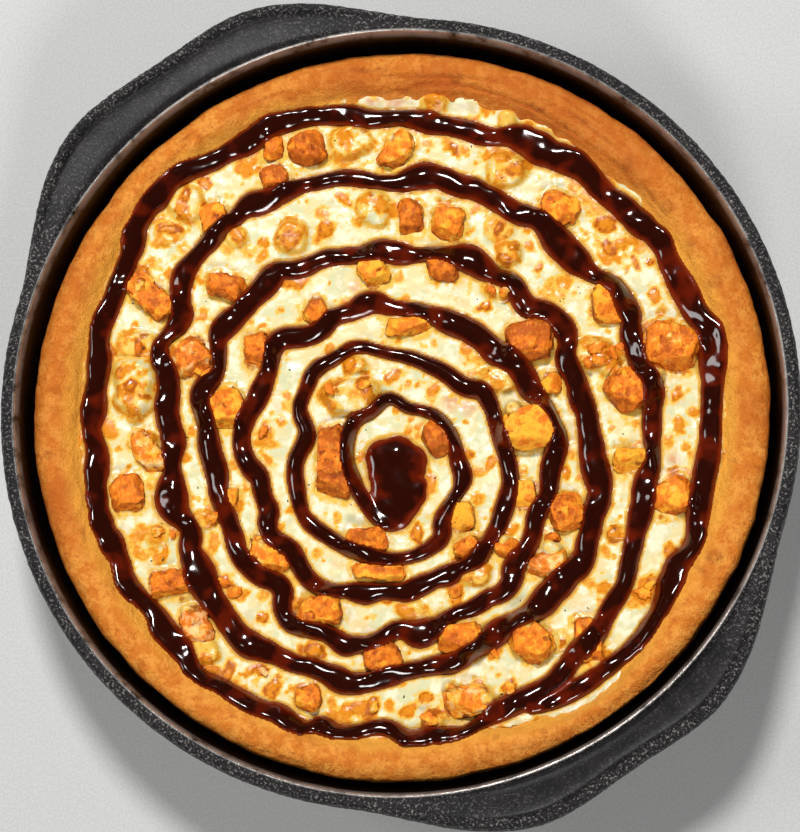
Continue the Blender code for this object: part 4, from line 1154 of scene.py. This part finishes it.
# Bubbles, pits and burnt specks on the crust: place in the view, radius and height in millimetres, darkness.
CRUST_MARKS = (
    (627, 167, 2.0, 0.5, 0.6), (667, 210, 2.4, 0.7, 0.5), (715, 284, 2.4, 0.6, 0.5),
    (714, 558, 2.4, 0.7, 0.6), (456, 80, 2.2, 0.6, 0.5), (533, 108, 0.9, 0.1, 0.9),
    (538, 112, 0.8, 0.1, 0.9), (543, 114, 0.8, 0.1, 0.9), (434, 58, 1.2, 0.3, 0.95),
    (464, 62, 0.9, 0.2, 0.9), (566, 128, 1.1, 0.2, 0.5), (52, 457, 1.4, 0.2, 0.5),
    (60, 393, 1.6, 0.3, 0.4), (142, 664, 1.5, 0.2, 0.5), (496, 738, 1.0, 0.2, 0.6),
    (545, 732, 1.0, 0.2, 0.6), (605, 200, 1.8, 0.5, 0.3), (690, 245, 1.6, 0.4, 0.4),
    (760, 400, 1.2, 0.3, 0.4), (752, 520, 1.2, 0.3, 0.3),
)

# Cracks and folds in the crust: both ends in the view, half width and depth in millimetres.
CRUST_CRACKS = (
    (50, 394, 73, 391, 0.7, 0.9), (141, 662, 154, 675, 0.7, 0.9), (727, 461, 762, 470, 1.0, 1.0),
    (689, 563, 706, 577, 1.0, 0.9), (47, 455, 60, 459, 0.6, 0.6), (176, 150, 196, 134, 0.8, 0.7),
    (560, 108, 610, 146, 0.8, 0.7), (330, 76, 400, 72, 0.9, 0.7), (640, 186, 662, 214, 0.8, 0.6),
    (640, 690, 664, 668, 0.7, 0.6), (262, 752, 300, 762, 0.7, 0.5), (84, 520, 92, 560, 0.6, 0.5),
)


def crust_profile(bearings, outer):
    """The crust's rings, from the middle of its bottom over the puffed top to under the cheese."""
    inner = crust_inner(bearings)
    angle = np.radians(bearings)

    def swell(quick, seed):
        around = np.stack([np.cos(angle), np.sin(angle), np.full_like(angle, seed)], axis=1)
        return hills(around * quick, 1.0, 90 + seed)

    tall = 0.9 * swell(1.7, 1) + 0.5 * swell(6.0, 2)
    wander = 0.2 * swell(4.0, 3)
    fuller = 1.6 * on_side(bearings, FULLER_PAINTED_LIGHT_SIDE)

    def ring(radius, height, lift=0.0):
        return radius + np.zeros_like(inner), height + lift * tall

    def across(share):
        return inner + share * (outer - inner) + wander

    rings = [
        ring(60.0, 4.9), ring(112.0, 4.9), ring(115.6, 7.0), ring(119.8, 24.0), ring(120.6, 32.4, 0.5),
        ring(across(0.95), 35.2 + fuller, 0.7), ring(across(0.84), 36.8 + 0.6 * fuller, 0.9),
        ring(across(0.66), 37.9, 1.0), ring(across(0.46), 38.2, 1.1), ring(across(0.28), 37.1, 1.0),
        ring(across(0.13), 35.2, 0.7), ring(across(0.03), 33.2, 0.4), ring(inner - 1.6, 31.4),
        ring(inner - 2.4, 27.0), ring(60.0, 25.0),
    ]
    return rounded(np.array(rings), 2)


def crust_flaws(points):
    """How far bubbles, cracks and specks lift the crust at each point, and how dark they make it."""
    x, y = points[:, 0], points[:, 1]
    lift, mark = np.zeros(len(points)), np.zeros(len(points))
    uneven = 0.25 * hills(points, 1.2, 56)
    for view_x, view_y, size, height, dark in CRUST_MARKS:
        mark_x, mark_y = on_pan(view_x, view_y)
        away = np.hypot(x - mark_x, y - mark_y) / size + uneven
        lift += height * hump(away, 1.1)
        mark = np.maximum(mark, dark * (0.45 * hump(away, 1.1) + 0.55 * hump(np.abs(away - 0.8), 0.4)))
    wander = 0.7 * hills(points, 3.0, 66)
    for ax, ay, bx, by, width, deep in CRUST_CRACKS:
        start, end = np.array(on_pan(ax, ay)), np.array(on_pan(bx, by))
        way, off_x, off_y = end - start, x - start[0], y - start[1]
        along = np.clip((off_x * way[0] + off_y * way[1]) / (way @ way), 0.0, 1.0)
        away = np.hypot(off_x - along * way[0], off_y - along * way[1]) + wander
        cut = hump(np.abs(away), width) * (1.0 - 0.6 * np.abs(2.0 * along - 1.0))
        lift -= deep * cut
        # Painted shade in the cracks: the mark darkens with the cut.
        mark = np.maximum(mark, 0.45 * cut)
    specks = smooth_step(0.80, 0.93, hills(points, 0.8, 57))
    specks = specks * smooth_step(0.25, 0.6, hills(points, 9.0, 58))
    return lift, np.maximum(mark, 0.7 * specks)


class PIZZA_OT_crust(bpy.types.Operator):
    """Makes the puffed golden crust"""

    bl_idname = "pizza.crust"
    bl_label = "Crust"

    def execute(self, context):
        settings = context.scene.pizza_crust
        bearings = bearings_round(settings.stations)
        crust = turned_shell("crust_dough", crust_profile(bearings, settings.radius), bearings)
        points, normals = get_points(crust), get_normals(crust)
        x, y = points[:, 0], points[:, 1]
        radius, bearing = np.hypot(x, y), bearing_of(x, y)
        share = np.clip((settings.radius - radius) / (settings.radius - crust_inner(bearing)), 0.0, 1.15)
        shown = smooth_step(20.0, 30.0, points[:, 2])
        lift = 0.45 * hills(points, 9.0, 51) + 0.24 * hills(points, 3.6, 52) + 0.09 * hills(points, 1.5, 53)
        stretched = np.stack([bearing * 1.9, radius * 0.9, np.zeros_like(radius)], axis=1)
        crease = np.abs(hills(stretched * np.array((0.11, 1.0, 1.0)), 3.4, 54))
        creased = on_side(bearing, CREASED_SIDE) + 0.35
        lift -= 0.55 * creased * smooth_step(0.16, 0.0, crease) * hump(np.abs(share - 0.55), 0.7)
        flaw, mark = crust_flaws(points)
        set_points(crust, points + normals * ((lift + flaw) * shown)[:, None])
        toast = 0.55 * smooth_step(0.0, 0.9, hills(points, 16.0, 59))
        for side, browner in TOASTED_SIDES:
            toast += browner * on_side(bearing, side)
        # The outer edge is toasted more. Painted shade: the creases are darkened through the toast.
        toast += 0.6 * smooth_step(0.16, 0.0, share) + 0.3 * smooth_step(0.1, 0.0, crease) * creased
        # Painted light: the front side is made less toasted, to make up for the shade on its slope.
        toast -= 0.7 * on_side(bearing, FULLER_PAINTED_LIGHT_SIDE)
        oily = (share + 0.12 * hills(points, 5.0, 60)) * (1.0 - 0.45 * on_side(bearing, DRY_SIDE))
        store(crust, inner=oily, toast=toast, mark=mark)
        finish_piece(crust, crust_material(settings), ["crust"])
        return {"FINISHED"}


class PIZZA_OT_cheese(bpy.types.Operator):
    """Makes the melted cheese with its mounds and browned spots"""

    bl_idname = "pizza.cheese"
    bl_label = "Cheese"

    def execute(self, context):
        settings = context.scene.pizza_cheese
        axis = square_axis(113.0, settings.cell)
        cheese = add_grid("cheese_top", len(axis) - 1, len(axis) - 1)
        columns, rows, x, y = grid_points(cheese, axis)
        height, brown, blush, meat = cheese_fields(x, y)
        set_points(cheese, np.stack([x, y, height], axis=1))
        depth = sauce_field(axis)[0][columns, rows]
        stain = 0.85 * smooth_step(-0.62, -0.05, depth) * (0.75 + 0.25 * level_hills(x, y, 2.0, 17))
        blush = np.maximum(blush, 0.44 * smooth_step(-0.95, -0.4, depth))
        store(cheese, brown=brown, blush=blush, meat=meat, stain=stain)
        under_crust = 0.9
        drop_faces(cheese, np.hypot(x, y) < crust_inner(bearing_of(x, y)) + under_crust)
        work = bmesh.new()
        work.from_mesh(cheese.data)
        border = [edge for edge in work.edges if edge.is_boundary]
        skirt = bmesh.ops.extrude_edge_only(work, edges=border)["geom"]
        for thing in skirt:
            if isinstance(thing, bmesh.types.BMVert):
                thing.co.z = CHEESE_SKIRT * METRES
        work.to_mesh(cheese.data)
        work.free()
        close_up(cheese)
        finish_piece(cheese, cheese_material(settings), ["cheese"])
        return {"FINISHED"}


def turned_about_z(angle):
    """A matrix that, after rows of points, turns them clockwise seen from above."""
    cosine, sine = math.cos(angle), math.sin(angle)
    return np.array(((cosine, -sine, 0), (sine, cosine, 0), (0, 0, 1)))


def flat_sided(points, draw, count, deepest):
    """Pushes a lump's points back to random planes, so that it gets flat sides as if cut and torn.

    The first plane slants down towards the front, where most chunks show a darker side.
    """
    middle = points.mean(axis=0)
    for number in range(count):
        turn, lean = draw.uniform(0.0, 2.0 * math.pi), draw.uniform(0.0, 1.35)
        cut = draw.uniform(0.3, deepest)
        if number == 0:
            turn, lean = math.radians(draw.uniform(-120.0, -60.0)), draw.uniform(0.5, 0.8)
        side = np.array((math.cos(lean) * math.cos(turn), math.cos(lean) * math.sin(turn), math.sin(lean)))
        along = (points - middle) @ side
        if number == 0:
            cut = draw.uniform(0.08, 0.17) * (along.max() - along.min())
        over = np.maximum(along - along.max() + cut, 0.0)
        points = points - over[:, None] * side
    return points


def bent(piece):
    """How far each vertex stands out from its neighbours, in millimetres, and below 0 in a crack."""
    points, normals = get_points(piece), get_normals(piece)
    ends = np.empty(len(piece.data.edges) * 2, np.int32)
    piece.data.edges.foreach_get("vertices", ends)
    ends = ends.reshape(-1, 2)

    def around(values):
        total = np.zeros((len(points),) + values.shape[1:])
        count = np.zeros(len(points))
        for a, b in (ends.T, ends.T[::-1]):
            np.add.at(total, a, values[b])
            np.add.at(count, a, 1.0)
        return total / count.reshape((-1,) + (1,) * (values.ndim - 1))

    sharp = np.einsum("ij,ij->i", points - around(points), normals)
    for _ in range(2):
        sharp = 0.5 * sharp + 0.5 * around(sharp)
    return sharp


class PIZZA_OT_chicken(bpy.types.Operator):
    """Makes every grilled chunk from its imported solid"""

    bl_idname = "pizza.chicken"
    bl_label = "Chicken"

    def execute(self, context):
        settings = context.scene.pizza_chicken
        material = chicken_material(settings)
        for number, (node, name, looks) in enumerate(zip(CHUNK_NODES, CHUNK_PIECES, CHUNK_LOOKS)):
            gold, cheesy = looks
            deselect()
            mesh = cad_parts[node].data.copy()
            mesh.name = name
            chunk = add_piece(mesh)
            close_up(chunk, weld=0.01)
            apply_modifier(chunk, "REMESH", mode="VOXEL", voxel_size=settings.voxel * METRES)
            draw = np.random.default_rng(900 + number)
            points, normals = get_points(chunk), get_normals(chunk)
            place = points + 37.0 * number
            fibre = place @ turned_about_z(1.3 * number)
            torn = np.abs(hills(fibre * np.array((0.35, 1.0, 1.0)), 1.7, 72))
            pits = smooth_step(0.35, 0.85, hills(place, 2.6, 74))
            chips = cells(place, 2.6, 76)
            lift = 0.35 * hills(place, 3.8, 71) + 0.42 * chips + 0.45 * (0.3 - torn) - 0.55 * pits + 0.2
            set_points(chunk, flat_sided(points + normals * lift[:, None], draw, 9, 1.3))
            apply_modifier(chunk, "SMOOTH", factor=0.5, iterations=1)
            top = smooth_step(31.0, 34.0, get_points(chunk)[:, 2])
            side = smooth_step(0.72, 0.25, get_normals(chunk)[:, 2])
            sharp = bent(chunk)
            # Searing on sharp edges, and painted shade in cracks, pits, grooves between the fibres, low down
            # and on steep sides.
            edge = smooth_step(-0.02, -0.10, sharp) + 0.7 * smooth_step(0.05, 0.13, sharp)
            edge += 0.6 * pits + 0.4 * smooth_step(0.3, 0.7, torn) + 0.25 * (1.0 - top) + 0.6 * side
            gold = gold - 0.1 + 0.25 * hills(place, 6.0, 75) + 0.28 * chips
            store(chunk, gold=gold, edge=edge, cheesy=cheesy * (0.4 + 0.6 * top))
            finish_piece(chunk, material, [node])
        return {"FINISHED"}


# Small torn shreds of chicken: place in the view, length in view steps, and turn in degrees.
SHREDS = (
    (598, 348, 17, 20), (613, 353, 14, 110), (600, 362, 16, 150), (616, 371, 15, 60),
    (588, 363, 11, 95), (621, 346, 11, 10), (236, 592, 14, 30), (263, 431, 13, 70), (196, 369, 14, 140),
    (205, 373, 11, 40), (330, 391, 14, 100), (365, 386, 13, 20), (643, 593, 15, 160),
    (650, 584, 11, 50), (494, 652, 11, 120), (597, 648, 16, 80), (586, 657, 12, 10), (373, 707, 14, 60),
    (430, 719, 16, 150), (546, 385, 13, 45), (139, 349, 12, 80), (158, 532, 12, 20),
    (173, 535, 10, 100), (262, 671, 11, 130), (213, 518, 11, 70), (505, 292, 13, 30),
    (492, 290, 11, 120), (224, 582, 12, 160), (455, 592, 13, 20), (510, 688, 12, 100),
)


class PIZZA_OT_shreds(bpy.types.Operator):
    """Lays small torn shreds of chicken on the cheese"""

    bl_idname = "pizza.shreds"
    bl_label = "Shreds"

    def execute(self, context):
        cheese = faces_of("cheese_top")
        work = bmesh.new()
        for number, (view_x, view_y, length, turn) in enumerate(SHREDS):
            x, y = on_pan(view_x, view_y)
            hit, _ = drop_onto(cheese, x, y)
            made = bmesh.ops.create_icosphere(work, subdivisions=4, radius=1.0)["verts"]
            ball = np.array([tuple(vert.co) for vert in made])
            shade = ball * 1.7 + 11.0 * number
            size = 0.5 * length * VIEW_STEP[0]
            ball = ball * (1.0 + 0.42 * hills(shade, 1.0, 81) + 0.16 * cells(shade, 0.55, 82))[:, None]
            ball = flat_sided(ball, np.random.default_rng(500 + number), 6, 0.3)
            ball = (ball * np.array((1.0, 0.62, 0.42)) * size) @ turned_about_z(math.radians(-turn))
            for vert, spot in zip(made, ball):
                vert.co = (Vector(spot) + Vector((x, y, hit.z / METRES + 0.22 * size))) * METRES
        shreds = add_worked_piece("chicken_shreds", work)
        points = get_points(shreds)
        gold = 0.55 + 0.5 * hills(points, 5.0, 83)
        edge = 0.6 * smooth_step(0.05, 0.13, bent(shreds))
        cheesy = 0.25 + 0.35 * hills(points, 3.0, 84)
        store(shreds, gold=gold, edge=edge, cheesy=cheesy)
        finish_piece(shreds, bpy.data.materials["grilled_chicken"])
        return {"FINISHED"}


class PIZZA_OT_sauce(bpy.types.Operator):
    """Pours the spiral of sauce over the cheese and the chunks"""

    bl_idname = "pizza.sauce"
    bl_label = "Sauce"

    def execute(self, context):
        settings = context.scene.pizza_sauce
        axis = square_axis(109.0, settings.cell)
        depth, tall = sauce_field(axis)
        gx, gy = np.meshgrid(axis, axis, indexing="ij")
        wanted = depth > -0.45
        ground = sauce_ground(gx, gy, wanted)
        low = blurred(ground, 0.5 / settings.cell)
        bridged = blurred(widest(ground, 1.3 / settings.cell), 1.3 / settings.cell)
        draped = low + (bridged - low) * smooth_step(0.0, 0.5, depth)
        inside = np.clip(depth, 0.0, 1.0)
        beads = level_hills(gx, gy, 5.0, 46)
        dome = tall * inside**0.7 * (1.0 + 0.34 * beads) + 0.05 * inside * level_hills(gx, gy, 1.9, 47)
        out = smooth_step(0.0, -0.3, depth)
        surface = blurred(draped + dome, 0.45 / settings.cell) * (1.0 - out) + (low - 1.2) * out
        covering = widest(ground, 0.7 / settings.cell) + 0.3
        surface = np.where(depth > 0.04, np.maximum(surface, covering), surface)
        sauce = add_grid("sauce_spiral", len(axis) - 1, len(axis) - 1)
        columns, rows, x, y = grid_points(sauce, axis)
        set_points(sauce, np.stack([x, y, surface[columns, rows]], axis=1))
        slope = np.hypot(*np.gradient(surface, settings.cell))
        thin = 1.0 - smooth_step(0.0, 0.75, depth) + 0.5 * smooth_step(0.9, 2.2, slope)
        thin += 0.4 * smooth_step(0.1, -0.6, beads)
        store(sauce, thin=thin[columns, rows])
        drop_faces(sauce, wanted[columns, rows])
        apply_modifier(sauce, "SOLIDIFY", thickness=0.9 * METRES, offset=-1.0)
        finish_piece(sauce, sauce_material(settings))
        return {"FINISHED"}


# Dried herb flecks that can be made out on the cheese, as places in the view.
HERB_PLACES = (
    (623, 433), (565, 610), (572, 622), (588, 608), (289, 369), (320, 441), (352, 256), (480, 402),
    (486, 398), (455, 225), (610, 466), (430, 305), (240, 520), (262, 585), (520, 600), (350, 600),
    (560, 300), (205, 300),
)


class PIZZA_OT_herbs(bpy.types.Operator):
    """Scatters small dark herb flecks over the cheese"""

    bl_idname = "pizza.herbs"
    bl_label = "Herbs"

    def execute(self, context):
        settings = context.scene.pizza_herbs
        draw = np.random.default_rng(19)
        spots = [on_pan(*place) for place in HERB_PLACES]
        spots += [random_place(draw, 100.0) for _ in range(settings.scattered)]
        cheese = faces_of("cheese_top")
        work = bmesh.new()
        for x, y in spots:
            hit, normal = drop_onto(cheese, x, y)
            if not hit:
                continue
            size = draw.uniform(0.25, 0.6)
            made = bmesh.ops.create_icosphere(work, subdivisions=1, radius=size * METRES)["verts"]
            turn = Matrix.Rotation(draw.uniform(0.0, math.pi), 3, "Z")
            for vert in made:
                flake = Vector((vert.co.x * draw.uniform(0.8, 1.3), 0.5 * vert.co.y, 0.22 * vert.co.z))
                vert.co = hit + normal * (0.05 * METRES) + turn @ flake
        flecks = add_worked_piece("herb_flecks", work)
        finish_piece(flecks, plain_material("dried_herb", settings.herb))
        return {"FINISHED"}


# Each light's name, place and width in metres, and power in watts.
LIGHTS = (
    ("key", (-0.10, 0.85, 1.40), 0.32, 27.5),
    ("side", (-1.10, 0.10, 1.00), 0.40, 5.0),
    ("front", (0.35, -1.25, 1.10), 0.40, 15.0),
)

# How far the camera aims to the right of the pan's middle and below it, in metres.
AIM_RIGHT = 0.00147
AIM_DOWN = 0.00381


class PIZZA_OT_stage(bpy.types.Operator):
    """Sets the pale floor, the lights and the camera"""

    bl_idname = "pizza.stage"
    bl_label = "Stage"

    def execute(self, context):
        settings = context.scene.pizza_stage
        deselect()
        bpy.ops.mesh.primitive_plane_add(size=6.0, location=(0.0, 0.0, 0.0))
        floor = context.object
        floor.name = "floor"
        floor.data.materials.append(plain_material("pale_floor", settings.floor))
        world = bpy.data.worlds.new("studio")
        world.use_nodes = True
        world.node_tree.nodes["Background"].inputs["Color"].default_value = (*settings.air, 1.0)
        world.node_tree.nodes["Background"].inputs["Strength"].default_value = 0.05
        context.scene.world = world
        for name, place, size, power in LIGHTS:
            deselect()
            bpy.ops.object.light_add(type="AREA", location=place)
            light = context.object
            light.name = name
            light.data.shape = "DISK"
            light.data.size = size
            light.data.energy = power
            light.rotation_mode = "QUATERNION"
            light.rotation_quaternion = Vector(place).to_track_quat("Z", "Y")
        back = Vector((
            math.sin(settings.tilt) * math.sin(settings.azimuth),
            -math.sin(settings.tilt) * math.cos(settings.azimuth),
            math.cos(settings.tilt),
        ))
        right = Vector((0.0, 1.0, 0.0)).cross(back).normalized()
        up = back.cross(right)
        rim = Vector((0.0, 0.0, context.scene.pizza_pan.height)) * METRES
        aim = rim + right * AIM_RIGHT - up * AIM_DOWN
        camera = bpy.data.objects.new("camera", bpy.data.cameras.new("camera"))
        camera.data.lens = settings.lens
        camera.data.sensor_width = 36.0
        camera.location = aim + back * settings.distance
        camera.rotation_mode = "QUATERNION"
        camera.rotation_quaternion = Matrix((right, up, back)).transposed().to_quaternion()
        context.scene.collection.objects.link(camera)
        context.scene.camera = camera
        context.scene.view_settings.view_transform = "Standard"
        return {"FINISHED"}


class PIZZA_PT_panel(bpy.types.Panel):
    """Lists the pieces in the sidebar."""

    bl_idname = "PIZZA_PT_panel"
    bl_label = "Deep Dish Pizza"
    bl_space_type = "VIEW_3D"
    bl_region_type = "UI"
    bl_category = "Pizza"

    def draw(self, context):
        for operator in PIECES:
            self.layout.operator(operator.bl_idname)


PIECES = (
    PIZZA_OT_pan, PIZZA_OT_crust, PIZZA_OT_cheese, PIZZA_OT_chicken, PIZZA_OT_shreds, PIZZA_OT_sauce,
    PIZZA_OT_herbs, PIZZA_OT_stage,
)
SETTINGS = {
    "pizza_pan": PanSettings,
    "pizza_crust": CrustSettings,
    "pizza_cheese": CheeseSettings,
    "pizza_sauce": SauceSettings,
    "pizza_chicken": ChickenSettings,
    "pizza_herbs": HerbSettings,
    "pizza_stage": StageSettings,
}


def register():
    for name, group in SETTINGS.items():
        bpy.utils.register_class(group)
        setattr(bpy.types.Scene, name, bpy.props.PointerProperty(type=group))
    for made in (*PIECES, PIZZA_PT_panel):
        bpy.utils.register_class(made)


def unregister():
    for made in (PIZZA_PT_panel, *reversed(PIECES)):
        bpy.utils.unregister_class(made)
    for name, group in SETTINGS.items():
        delattr(bpy.types.Scene, name)
        bpy.utils.unregister_class(group)


def main():
    register()
    for operator in PIECES:
        group, name = operator.bl_idname.split(".")
        getattr(getattr(bpy.ops, group), name)()


if __name__ == "__main__":
    main()
